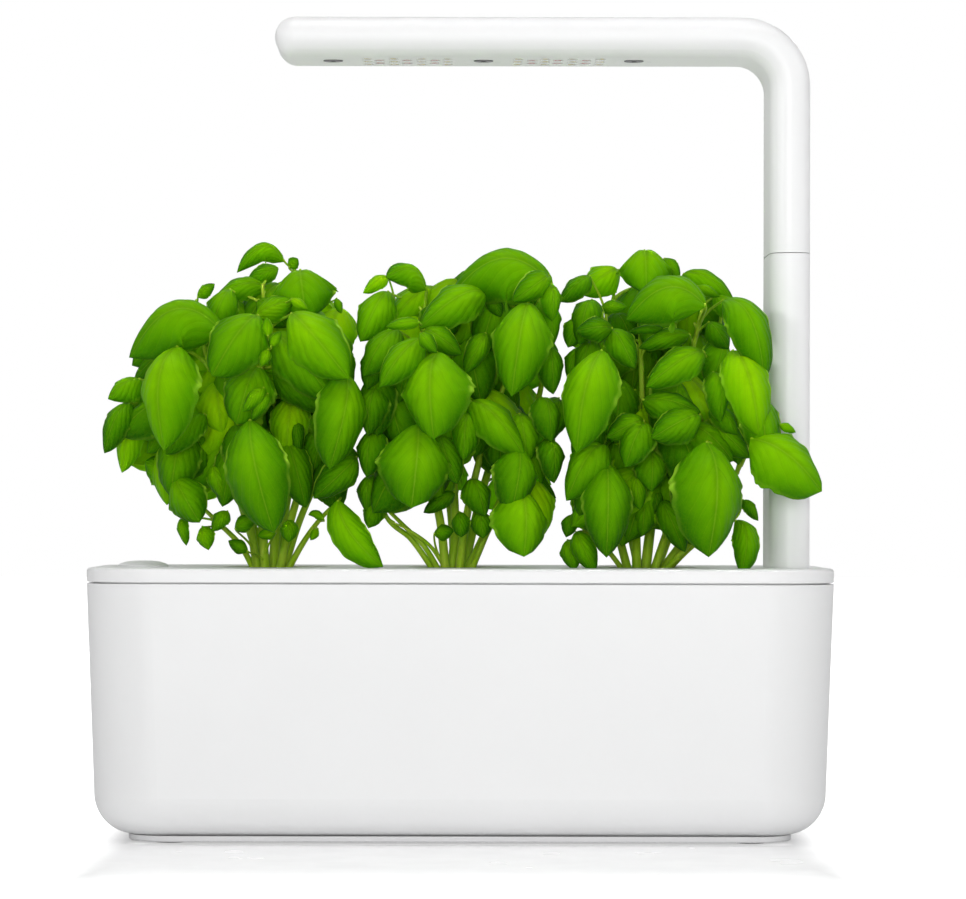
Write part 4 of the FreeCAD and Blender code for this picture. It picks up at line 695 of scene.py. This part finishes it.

# Leaves: base x, y, tip x, y, apparent width, depth in mm, tone 0 to 1, extras; the tone is partly the leaf's own
# colour and partly painted light and shade: low for shaded leaves, near 1 for bright backlit ones
LEAVES = {
    "left": [
        (284, 262, 237, 270.5, 24, -12, 0.50, dict(mid=(0, -12), pointed=1.1, up=0.5)),
        (278, 268, 248, 281, 20, 0, 0.45, {}),
        (300, 271, 306, 318, 68, -22, 0.50, dict(pointed=0.75, blunt=0.42, up=0.7, cup=0.7)),
        (291, 299, 307, 309, 10, -38, 0.75, {}),
        (288, 268, 297, 259, 13, -6, 0.5, {}),
        (336, 299, 341, 313, 9, -12, 0.5, {}),
        (224, 334, 127, 350, 78, -30, 0.52, dict(mid=(0, -16), up=0.9, cup=0.75, quilt=0.4, sy=0)),
        (178, 347, 158, 446, 64, -48, 0.64, dict(quilt=0.7, pointed=0.7, hood=0.3)),
        (205, 415, 165, 452, 32, -30, 0.45, {}),
        (140, 380, 108, 396, 32, -18, 0.55, {}),
        (130, 404, 103, 450, 30, -24, 0.35, {}),
        (137, 408, 120, 469, 32, -16, 0.80, dict(mid=(2, 0))),
        (258, 316, 212, 372, 62, -50, 0.50, dict(pointed=0.55)),
        (197, 298, 213, 284, 14, -14, 0.5, {}),
        (268, 290, 213, 300, 28, -4, 0.5, dict(mid=(0, -4), up=0.6)),
        (255, 317, 292, 299, 28, -24, 0.6, {}),
        (258, 300, 287, 325, 30, -16, 0.35, {}),
        (258, 368, 236, 422, 54, -40, 0.50, dict(pointed=0.6)),
        (272, 334, 332, 398, 50, -38, 0.50, {}),
        (291, 314, 347, 376, 60, -50, 0.62, dict(pointed=0.65)),
        (274, 366, 328, 410, 42, -26, 0.30, {}),
        (250, 420, 273, 531, 64, -54, 0.42, dict(hood=0.15, pointed=0.7, blunt=0.7, mid=(-3, 0), cup=0.6)),
        (345, 374, 331, 468, 52, -44, 0.50, dict(pointed=0.7, hood=0.3)),
        (296, 420, 298, 456, 17, -22, 0.2, {}),
        (305, 418, 318, 433, 14, -16, 0.85, {}),
        (356, 457, 316, 497, 34, -34, 0.36, {}),
        (338, 500, 383, 565, 36, -46, 0.55, dict(mid=(-8, 7), pointed=1.15, blunt=0.7, quilt=0.6)),
        (168, 446, 165, 502, 36, -12, 0.72, {}),
        (175, 476, 146, 462, 34, -8, 0.55, {}),
        (176, 478, 198, 521, 42, -30, 0.50, dict(pointed=0.65, blunt=0.5)),
        (205, 446, 180, 478, 36, -16, 0.28, {}),
        (214, 466, 222, 497, 22, -26, 0.5, {}),
        (183, 518, 185, 545, 13, -20, 0.5, {}),
        (203, 527, 207, 549, 20, -24, 0.62, {}),
        (228, 512, 212, 530, 18, -24, 0.5, {}),
        (235, 530, 256, 516, 18, -26, 0.3, {}),
        (248, 552, 229, 541, 15, -26, 0.3, {}),
        (276, 532, 258, 536, 13, -28, 0.5, {}),
        (290, 520, 288, 541, 20, -28, 0.45, {}),
        (300, 470, 303, 502, 13, -20, 0.4, {}),
        (318, 478, 322, 501, 15, -20, 0.5, {}),
        (324, 520, 309, 515, 9, -22, 0.5, dict(mid=(0, -3))),
        (318, 529, 311, 540, 9, -22, 0.55, {}),
        (268, 337, 266, 318, 11, -50, 0.6, {}),
        (271, 347, 280, 332, 11, -50, 0.55, {}),
        (268, 350, 261, 366, 12, -50, 0.6, {}),
        (264, 388, 243, 410, 17, -50, 0.55, dict(quilt=1.6)),
        (268, 394, 252, 419, 15, -48, 0.45, dict(quilt=1.6)),
        (190, 350, 218, 400, 34, 8, 0.95, {}),
        (212, 438, 234, 453, 20, 2, 0.95, {}),
        (226, 370, 244, 440, 46, -14, 0.35, {}),
        (300, 380, 290, 440, 44, -12, 0.3, {}),
        (190, 400, 205, 470, 44, -12, 0.35, {}),
        (320, 420, 312, 480, 34, -14, 0.35, {}),
        (240, 440, 222, 505, 36, -24, 0.4, {}),
        (286, 440, 306, 505, 36, -26, 0.4, {}),
        (230, 290, 210, 330, 34, -20, 0.45, {}),
        (330, 330, 346, 380, 34, -22, 0.5, {}),
        (334, 340, 349, 392, 32, -34, 0.42, {}),
        (338, 396, 352, 446, 34, -30, 0.34, {}),
        (340, 440, 351, 484, 28, -28, 0.30, {}),
    ],
    "middle": [
        (388, 292, 360, 338, 40, -20, 0.62, {}),
        (372, 476, 366, 511, 28, -20, 0.4, {}),
        (378, 500, 368, 527, 24, -22, 0.45, {}),
        (553, 286, 450, 290, 76, -20, 0.46, dict(mid=(0, -16), up=0.9, cup=0.75, quilt=0.4, sy=0)),
        (426, 290, 388, 275, 36, -22, 0.52, dict(mid=(0, -8), up=0.8, cup=0.65)),
        (388, 277, 363, 292, 16, -8, 0.8, {}),
        (433, 288, 388, 322, 42, -4, 0.75, {}),
        (484, 293, 420, 324, 46, -32, 0.52, dict(up=0.6)),
        (490, 296, 500, 316, 18, -20, 0.3, {}),
        (422, 338, 379, 385, 38, -52, 0.50, dict(pointed=1.05)),
        (398, 330, 362, 372, 36, -36, 0.45, {}),
        (420, 322, 386, 326, 13, -46, 0.5, {}),
        (424, 330, 460, 352, 28, -40, 0.45, dict(quilt=1.8)),
        (420, 333, 436, 352, 17, -54, 0.45, {}),
        (485, 333, 466, 371, 24, -30, 0.45, dict(quilt=1.8)),
        (437, 352, 431, 435, 74, -56, 0.56, dict(pointed=0.5, blunt=0.5, hood=0.3)),
        (378, 370, 376, 434, 40, -30, 0.28, {}),
        (418, 424, 412, 506, 76, -50, 0.50, dict(pointed=0.5, blunt=0.5, hood=0.25)),
        (440, 436, 456, 482, 32, -36, 0.35, {}),
        (528, 303, 511, 390, 62, -52, 0.52, dict(pointed=0.75)),
        (519, 388, 478, 396, 18, 4, 0.85, {}),
        (470, 402, 524, 450, 44, -40, 0.55, {}),
        (468, 413, 463, 458, 32, -38, 0.5, {}),
        (517, 446, 513, 510, 48, -42, 0.36, dict(pointed=0.55, hood=0.25)),
        (520, 488, 526, 554, 60, -46, 0.60, dict(pointed=0.6, blunt=0.5, hood=0.2)),
        (455, 492, 424, 512, 17, -20, 0.28, {}),
        (434, 534, 453, 530, 18, -26, 0.3, {}),
        (460, 512, 461, 536, 20, -32, 0.3, dict(pointed=0.55, blunt=0.5)),
        (470, 480, 486, 514, 32, -26, 0.42, {}),
        (480, 512, 483, 537, 24, -26, 0.42, {}),
        (548, 275, 514, 300, 28, -44, 0.42, dict(quilt=1.9)),
        (546, 284, 554, 318, 26, -42, 0.45, dict(quilt=1.9)),
        (541, 367, 555, 384, 14, -24, 0.3, {}),
        (558, 398, 540, 447, 36, -26, 0.28, {}),
        (470, 340, 480, 400, 48, -18, 0.34, {}),
        (500, 300, 480, 350, 46, -16, 0.4, {}),
        (392, 390, 404, 450, 46, -20, 0.35, {}),
        (440, 440, 430, 500, 40, -18, 0.35, {}),
        (500, 410, 500, 470, 44, -20, 0.34, {}),
        (446, 300, 430, 350, 44, -14, 0.42, {}),
        (412, 350, 398, 400, 40, -24, 0.4, {}),
        (378, 440, 392, 480, 34, -24, 0.4, {}),
        (540, 330, 548, 375, 34, -22, 0.4, {}),
        (534, 420, 548, 470, 34, -16, 0.35, {}),
        (543, 300, 553, 345, 30, -34, 0.42, {}),
        (545, 345, 554, 392, 30, -34, 0.35, {}),
        (541, 398, 552, 440, 34, -30, 0.36, {}),
        (546, 440, 556, 480, 30, -30, 0.30, {}),
        (378, 345, 366, 388, 30, -30, 0.36, {}),
        (378, 388, 366, 432, 34, -34, 0.34, {}),
        (376, 430, 365, 474, 32, -30, 0.38, {}),
    ],
    "right": [
        (644, 251, 646, 291, 58, -12, 0.60, dict(pointed=0.65, blunt=0.4, up=0.5)),
        (664, 258, 679, 276, 15, -6, 0.5, {}),
        (618, 270, 582, 292, 36, -4, 0.70, {}),
        (706, 306, 626, 316, 68, -42, 0.48, dict(mid=(0, -14), up=0.8, cup=0.75, quilt=0.4, sy=0)),
        (665, 329, 628, 331, 10, -28, 0.2, {}),
        (682, 274, 735, 300, 24, -6, 0.5, dict(mid=(0, -4))),
        (696, 286, 719, 295, 12, -16, 0.5, {}),
        (713, 296, 742, 321, 24, -12, 0.5, {}),
        (722, 300, 766, 376, 44, -40, 0.42, dict(mid=(6, -4), pointed=0.7, sy=0.5)),
        (732, 350, 761, 432, 48, -42, 0.74, dict(pointed=0.75, hood=0.3)),
        (750, 392, 767, 462, 42, -40, 0.46, dict(mid=(3, 0))),
        (750, 438, 824, 487, 66, -46, 0.60, dict(pointed=0.55, sy=0)),
        (779, 424, 796, 431, 10, -38, 0.55, dict(sy=0)),
        (602, 350, 574, 447, 58, -54, 0.60, dict(pointed=0.7, hood=0.3)),
        (604, 446, 566, 495, 44, -42, 0.45, dict(quilt=1.8)),
        (607, 463, 607, 554, 52, -48, 0.40, dict(pointed=0.7, hood=0.2)),
        (644, 421, 608, 436, 32, -38, 0.42, dict(quilt=1.6)),
        (645, 424, 625, 463, 38, -44, 0.42, dict(quilt=2.0)),
        (700, 414, 653, 436, 40, -46, 0.42, dict(quilt=1.8)),
        (642, 400, 700, 410, 34, -38, 0.34, dict(up=0.5)),
        (706, 441, 711, 555, 76, -54, 0.50, dict(pointed=0.65, hood=0.2)),
        (742, 500, 759, 518, 15, -24, 0.3, {}),
        (735, 520, 741, 571, 28, -34, 0.5, dict(mid=(8, 0), quilt=0.6)),
        (568, 540, 574, 569, 22, -24, 0.45, {}),
        (576, 532, 594, 570, 26, -30, 0.45, {}),
        (572, 515, 566, 536, 18, -24, 0.3, {}),
        (661, 520, 646, 514, 17, -24, 0.5, {}),
        (662, 500, 684, 549, 27, -30, 0.3, {}),
        (610, 330, 634, 366, 32, -34, 0.45, {}),
        (612, 328, 577, 330, 28, -40, 0.3, dict(quilt=1.8)),
        (600, 308, 626, 306, 15, -16, 0.45, {}),
        (704, 352, 647, 384, 38, -40, 0.52, {}),
        (690, 334, 640, 345, 22, -28, 0.45, {}),
        (708, 322, 728, 346, 27, -24, 0.3, {}),
        (712, 372, 722, 420, 28, -36, 0.42, {}),
        (712, 405, 738, 432, 26, -32, 0.42, {}),
        (706, 420, 748, 455, 32, -30, 0.42, {}),
        (650, 450, 652, 489, 36, -34, 0.42, {}),
        (634, 474, 640, 508, 20, -34, 0.5, {}),
        (657, 489, 655, 511, 20, -24, 0.2, {}),
        (645, 350, 667, 345, 14, 6, 0.9, {}),
        (704, 345, 706, 361, 13, 6, 0.9, {}),
        (590, 276, 560, 300, 24, -22, 0.3, {}),
        (592, 302, 573, 318, 22, -22, 0.45, {}),
        (580, 318, 568, 346, 26, -26, 0.4, {}),
        (580, 348, 568, 378, 24, -24, 0.4, {}),
        (620, 380, 616, 440, 44, -18, 0.34, {}),
        (672, 380, 664, 440, 46, -20, 0.34, {}),
        (690, 440, 676, 500, 40, -22, 0.38, {}),
        (604, 400, 590, 450, 40, -24, 0.36, {}),
        (636, 440, 628, 500, 36, -20, 0.36, {}),
        (726, 400, 740, 460, 38, -18, 0.4, {}),
        (660, 300, 650, 350, 40, -16, 0.42, {}),
        (720, 340, 712, 385, 34, -20, 0.4, {}),
        (600, 340, 588, 380, 34, -26, 0.42, {}),
        (592, 300, 578, 342, 32, -30, 0.40, {}),
        (594, 340, 580, 384, 32, -28, 0.36, {}),
        (594, 420, 579, 466, 36, -30, 0.30, {}),
        (596, 470, 580, 512, 34, -30, 0.34, {}),
    ],
}

# The outline of the whole canopy and the bright openings in it, for the
# leaves that fill it from behind
OUTLINE = [
    (104, 450), (101, 428), (112, 398), (132, 374), (127, 346), (138, 322), (160, 306),
    (192, 299), (200, 286), (240, 284), (246, 268), (262, 254), (290, 262), (322, 272),
    (336, 296), (352, 300), (366, 288), (390, 272), (408, 262), (436, 264), (452, 270),
    (476, 252), (510, 250), (540, 258), (556, 272), (580, 274), (600, 266), (618, 268),
    (624, 254), (646, 249), (668, 256), (684, 274), (706, 276), (732, 294), (744, 316),
    (768, 346), (775, 378), (772, 404), (776, 440), (760, 470), (742, 478), (744, 520),
    (720, 540), (690, 545), (600, 545), (560, 520), (545, 545), (500, 545), (490, 500),
    (470, 470), (450, 505), (380, 515), (350, 520), (320, 500), (300, 500), (280, 520),
    (250, 515), (226, 500), (200, 515), (170, 505), (145, 480), (146, 455), (122, 466),
]
GAPS = [
    [(366, 294), (396, 294), (380, 336), (366, 336)],
    [(588, 281), (637, 281), (637, 307), (588, 307)],
    [(708, 308), (723, 308), (723, 323), (708, 323)],
    [(641, 351), (655, 351), (655, 361), (641, 361)],
    [(680, 375), (709, 375), (709, 389), (680, 389)],
    [(533, 372), (563, 372), (563, 400), (533, 400)],
    [(466, 459), (493, 459), (493, 489), (466, 489)],
    [(547, 483), (558, 483), (558, 509), (547, 509)],
    [(737, 468), (762, 468), (762, 495), (737, 495)],
    [(231, 494), (247, 494), (247, 516), (231, 516)],
    [(299, 456), (316, 456), (316, 476), (299, 476)],
]


def fill_mask(polygon):
    """A mask of the picture, 1 inside the polygon."""
    yy, xx = np.mgrid[0:H_PX, 0:W_PX]
    inside = np.zeros((H_PX, W_PX), bool)
    p = np.array(polygon, float)
    x0, y0 = p[-1]
    for x1, y1 in p:
        if y0 != y1:
            cross = ((yy < y1) != (yy < y0)) & (xx < (x0 - x1) * (yy - y1) / (y0 - y1) + x1)
            inside ^= cross
        x0, y0 = x1, y1
    return inside


MASK = fill_mask(OUTLINE)
for g in GAPS:
    MASK &= ~fill_mask(g)

SIDES = {"left": (-0.1500, -0.0440), "middle": (-0.0430, 0.0434), "right": (0.0445, 0.1205)}
AXIS = {"left": -0.077, "middle": 0.0, "right": 0.077}


def join_point(B, lines, drop=0.013):
    """The stem and place on it where a leaf's stalk starts."""
    best = None
    for line in lines:
        d = np.linalg.norm(line - B, axis=1)
        fall = B[2] - line[:, 2]
        cost = d + 0.5 * np.abs(fall - drop) + 0.03 * (fall < 0.002)
        k = int(np.argmin(cost))
        if best is None or cost[k] < best[0]:
            best = (cost[k], line, k)
    return best


def stalk(build, B, lead, lines, width):
    """A leaf's stalk from the nearest stem to its base."""
    cost, line, k = join_point(B, lines)
    k = max(1, min(k, len(line) - 2))
    P = line[k]
    grow = unit(line[k + 1] - line[k - 1])
    gap = np.linalg.norm(B - P)
    a = P + grow * gap * 0.35
    # the last part comes up behind the blade
    b = B - lead * min(gap * 0.15, 0.002) + np.array([0.0, min(gap * 0.4, 0.009), -0.001])
    t = np.linspace(0, 1, 9)[:, None]
    path = (1 - t) ** 3 * P + 3 * (1 - t) ** 2 * t * a + 3 * (1 - t) * t * t * b + t**3 * (B + lead * 0.0012)
    r = min(0.0009, 0.0004 + width * 0.014)
    tube(build, path, [r * 1.25, r, r * 0.85, r * 0.8], 7)


def plant(name, seed):
    rng = random.Random(seed)
    stems, leaves = Builder(), Builder()
    lines = []
    for pts, r in STEMS[name]:
        p = np.array([at(x, y, d if k == 0 else d * 0.45 + (3 if d < 0 else 0)) for k, (x, y, d) in enumerate(pts)])
        if pts[0][1] >= 570:
            p[0, 2] = 0.1088
        line = bezier(p, 9)
        lines.append(line)
        tube(stems, line, [r * 1.35e-3, r * 1.2e-3, r * 0.95e-3, r * 0.66e-3, r * 0.45e-3], 12, 0.10)
    x_lo, x_hi = SIDES[name]
    for bx, by, tx, ty, w, depth, t, opt in LEAVES[name]:
        opt = dict(opt)
        spread = opt.pop("sy", 1)
        lean = 13.0 * min(1.0, w / 45.0)
        long_px = math.hypot(tx - bx, ty - by)
        hang = max(0.0, (ty - by) / max(1.0, long_px))
        hood = opt.setdefault("hood", 0.55 * hang if opt.get("pointed", 0.8) < 1.0 else 0.25 * hang)
        reach = 0.42 * hood * min(long_px, 95.0) * 0.42
        B = at(bx, by, depth + lean * 0.5 * spread + reach)
        T = at(tx, ty, depth - lean * 0.35 * spread)
        mx, my = opt.pop("mid", (0, 0))
        scale = (depth / 1000.0 - EYE_Y) / FOCAL
        opt["mid"] = (mx * scale, 0.0, -my * scale)
        big = w > 26
        opt.setdefault("up", 0.15 + 0.25 * rng.random())
        opt.setdefault("sx", 0.5 * (rng.random() - 0.5) + 0.35 * (B[0] - AXIS[name]) / 0.05)
        opt.setdefault("arch", 0.16 + 0.10 * rng.random())
        opt["cup"] = 0.62 + 0.3 * rng.random()
        opt.setdefault("curl", 0.08 * rng.random())
        tilt = math.sqrt(1.0 + opt["sx"] ** 2 * 0.35)
        top, C = leaf(
            leaves, B, T, w * scale * 1.06 * tilt, rng,
            tone_with_painted_light=t + 0.06 * (rng.random() - 0.5),
            rows=34 if big else 18, cols=16 if big else 10, **opt,
        )
        stalk(stems, C[0], unit(C[1] - C[0]), lines, w * scale)
    # leaves inside, behind and at the sides, kept inside the canopy's outline
    made = tries = 0
    ax = AXIS[name]
    front_goal, goal = 60, 150
    while made < goal and tries < 9000:
        tries += 1
        inner = made < front_goal
        if inner:
            # faces the front, in the depth between the front leaves and the stems
            z = rng.uniform(0.140, 0.238)
            back_by = 0.028 * min(1.0, max(0.0, (z - 0.175) / 0.025))
            B = np.array([rng.uniform(x_lo, x_hi), rng.uniform(-0.026, 0.004) + back_by, z])
            lean_x = 0.8 * (B[0] - ax) / 0.05 + rng.uniform(-0.7, 0.7)
            out = np.array([lean_x, -0.35, -rng.uniform(0.3, 1.2)])
            L = rng.uniform(0.020, 0.036)
            T = B + unit(out) * L
            deep_lo, deep_hi = -0.040 + back_by, 0.012 + back_by
        else:
            ang = rng.uniform(-0.3, math.pi + 0.3)  # 0 is +X, pi/2 is +Y
            out = np.array([math.cos(ang), math.sin(ang), 0.0])
            z = rng.uniform(0.146, 0.238)
            wide = 0.046 if name != "left" else 0.060
            r0 = rng.uniform(0.10, 0.72)
            B = np.array([ax + out[0] * wide * r0, 0.002 + out[1] * 0.048 * r0, z])
            if name == "left":
                B[0] -= 0.012
            L = rng.uniform(0.020, 0.040)
            T = B + unit(
                out + np.array([rng.uniform(-0.5, 0.5), rng.uniform(-0.4, 0.4), -rng.uniform(-0.2, 1.0)])
            ) * L
            deep_lo, deep_hi = -0.03, 0.0575
        w = L * rng.uniform(0.62, 0.85)
        mids = (B + T) / 2
        ring = np.array([B, T, mids + [w / 2, 0, 0], mids - [w / 2, 0, 0], mids + [0, 0, w / 2], mids - [0, 0, w / 2],
                         B * 0.3 + T * 0.7 + [w / 3, 0, 0], B * 0.3 + T * 0.7 - [w / 3, 0, 0]])
        if ring[:, 0].min() < x_lo or ring[:, 0].max() > x_hi or ring[:, 1].max() > deep_hi or ring[:, 1].min() < deep_lo:
            continue
        px = seen(ring).round().astype(int)
        if not MASK[px[:, 1], px[:, 0]].all():
            continue
        top, C = leaf(
            leaves, B, T, w, rng, up=rng.uniform(0.2, 0.8) if inner else rng.uniform(0.4, 1.2),
            sx=(0.5 * out[0] if inner else 1.2 * out[0]), arch=rng.uniform(0.08, 0.18),
            hood=rng.uniform(0.3, 0.9), cup=rng.uniform(0.55, 0.9), quilt=rng.uniform(0.3, 1.4),
            pointed=rng.uniform(0.65, 0.95),
            # a third of the inner leaves get a bright tone: painted backlight glow in the openings between the front
            # leaves
            tone_with_painted_light=rng.choice((rng.uniform(0.15, 0.6), rng.uniform(0.25, 0.7), rng.uniform(0.7, 0.85 if z > 0.2 else 1.0))) if inner
            else rng.uniform(0.4, 0.95), rows=20, cols=10,
            back=not inner and out[1] > 0.05, curl=0.08,
        )
        stalk(stems, C[0], unit(C[1] - C[0]), lines, w)
        made += 1
    print("plant", name, "filled with", made, "after", tries)
    s = stems.make("basil_stems_" + name, STEM, attributes=False)
    l = leaves.make("basil_leaves_" + name, LEAF)
    for ob, node, slot in ((s, "stems_" + name, "stem"), (l, "foliage_" + name, "leaf")):
        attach(ob, "pod_" + name)
        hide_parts(node)
    return s, l


for k, name in enumerate(("left", "middle", "right")):
    plant(name, 101 + k)

# ------------------------------------------------------------------- stage
floor_mesh = bpy.data.meshes.new("floor")
R = 6.0
FLOOR_GLOW = 0.19
floor_mesh.from_pydata([(-R, -R, 0), (R, -R, 0), (R, R, 0), (-R, R, 0)], [], [(0, 1, 2, 3)])
floor = bpy.data.objects.new("floor", floor_mesh)
scene.collection.objects.link(floor)
fm = Mat("floor_white")
fm.set(
    Base_Color=fm.ramp(fm.noise(6.0), [(0.3, (0.94, 0.94, 0.945)), (0.7, (0.955, 0.955, 0.96))]),
    Roughness=fm.span(fm.noise(30.0), 0.22, 0.28, 0.3, 0.7),
    Normal=fm.bump(fm.noise(90.0), 0.02, 0.0003),
    Emission_Color=(1.0, 1.0, 1.0, 1.0),
)
# painted glow: camera-seen emission in the floor that burns it out to white a short way from the foot
spot = fm.add("ShaderNodeSeparateXYZ")
fm.link(fm.coords(), spot.inputs[0])
off_x, off_y = (fm.math("ABSOLUTE", spot.outputs[k]) for k in (0, 1))
painted_floor_glow = fm.math(
    "MAXIMUM",
    fm.span(off_x, FLOOR_GLOW, 1.0, 0.132, 0.160, True),
    fm.span(off_y, FLOOR_GLOW, 1.0, 0.140, 0.300, True),
)
# painted light: extra glow in the shadow gap under the foot keeps it pale
under = fm.math("MULTIPLY", fm.span(off_y, 0.5, 0.0, 0.049, 0.054), fm.span(off_x, 1.0, 0.0, 0.130, 0.140))
painted_floor_glow = fm.math("MAXIMUM", painted_floor_glow, under)
fm.link(
    fm.math("MULTIPLY", fm.add("ShaderNodeLightPath").outputs["Is Camera Ray"], painted_floor_glow),
    fm.p.inputs["Emission Strength"],
)
floor_mesh.materials.append(fm.m)

# ------------------------------------------------------------------ lights
world = bpy.data.worlds.new("studio")
scene.world = world
world.use_nodes = True
nt = world.node_tree
nt.nodes.clear()
out = nt.nodes.new("ShaderNodeOutputWorld")
bg_light = nt.nodes.new("ShaderNodeBackground")
bg_seen = nt.nodes.new("ShaderNodeBackground")
bg_seen.inputs["Color"].default_value = (1, 1, 1, 1)
bg_seen.inputs["Strength"].default_value = 1.0
mixer = nt.nodes.new("ShaderNodeMixShader")
path = nt.nodes.new("ShaderNodeLightPath")
nt.links.new(path.outputs["Is Camera Ray"], mixer.inputs["Fac"])
nt.links.new(bg_light.outputs[0], mixer.inputs[1])
nt.links.new(bg_seen.outputs[0], mixer.inputs[2])
nt.links.new(mixer.outputs[0], out.inputs["Surface"])
bg_light.inputs["Color"].default_value = (1.0, 1.0, 1.0, 1.0)
wco = nt.nodes.new("ShaderNodeTexCoord")
wsep = nt.nodes.new("ShaderNodeSeparateXYZ")
nt.links.new(wco.outputs["Generated"], wsep.inputs[0])
wsq = nt.nodes.new("ShaderNodeMath")
wsq.operation = "MULTIPLY"
nt.links.new(wsep.outputs[0], wsq.inputs[0])
nt.links.new(wsep.outputs[0], wsq.inputs[1])
wst = nt.nodes.new("ShaderNodeMath")
wst.operation = "MULTIPLY_ADD"
wst.inputs[1].default_value = -0.13
wst.inputs[2].default_value = 0.445
nt.links.new(wsq.outputs[0], wst.inputs[0])
nt.links.new(wst.outputs[0], bg_light.inputs["Strength"])


def area(name, loc, target, size, power, colour=(1, 1, 1), size_y=None):
    d = bpy.data.lights.new(name, "AREA")
    d.shape = "RECTANGLE"
    d.size, d.size_y = size, size_y or size
    d.energy = power
    d.color = colour
    o = bpy.data.objects.new(name, d)
    o.location = loc
    o.rotation_euler = (Vector(target) - Vector(loc)).to_track_quat("-Z", "Y").to_euler()
    scene.collection.objects.link(o)
    return o


area("front", (-0.1, -2.6, 0.45), (0, 0, 0.15), 1.3, 21.5, size_y=1.0)
area("top", (-0.15, -0.25, 1.7), (0, 0, 0.1), 0.9, 6.4)
for side, where, watts in (("right", (1.9, -0.5, 1.0), 0.075), ("left", (-1.5, -1.5, 0.75), 0.07)):
    kick = area("post_" + side, where, (0.125, 0.0, 0.24), 0.25, watts)
    kick.data.spread = math.radians(14)
back = area("back", (0.0, 2.2, 1.0), (0, 0, 0.2), 2.4, 30, size_y=1.4)
back.visible_glossy = False

scene.view_settings.view_transform = "Standard"
scene.view_settings.look = "None"
scene.view_settings.exposure = 0.0
scene.view_settings.gamma = 1.0
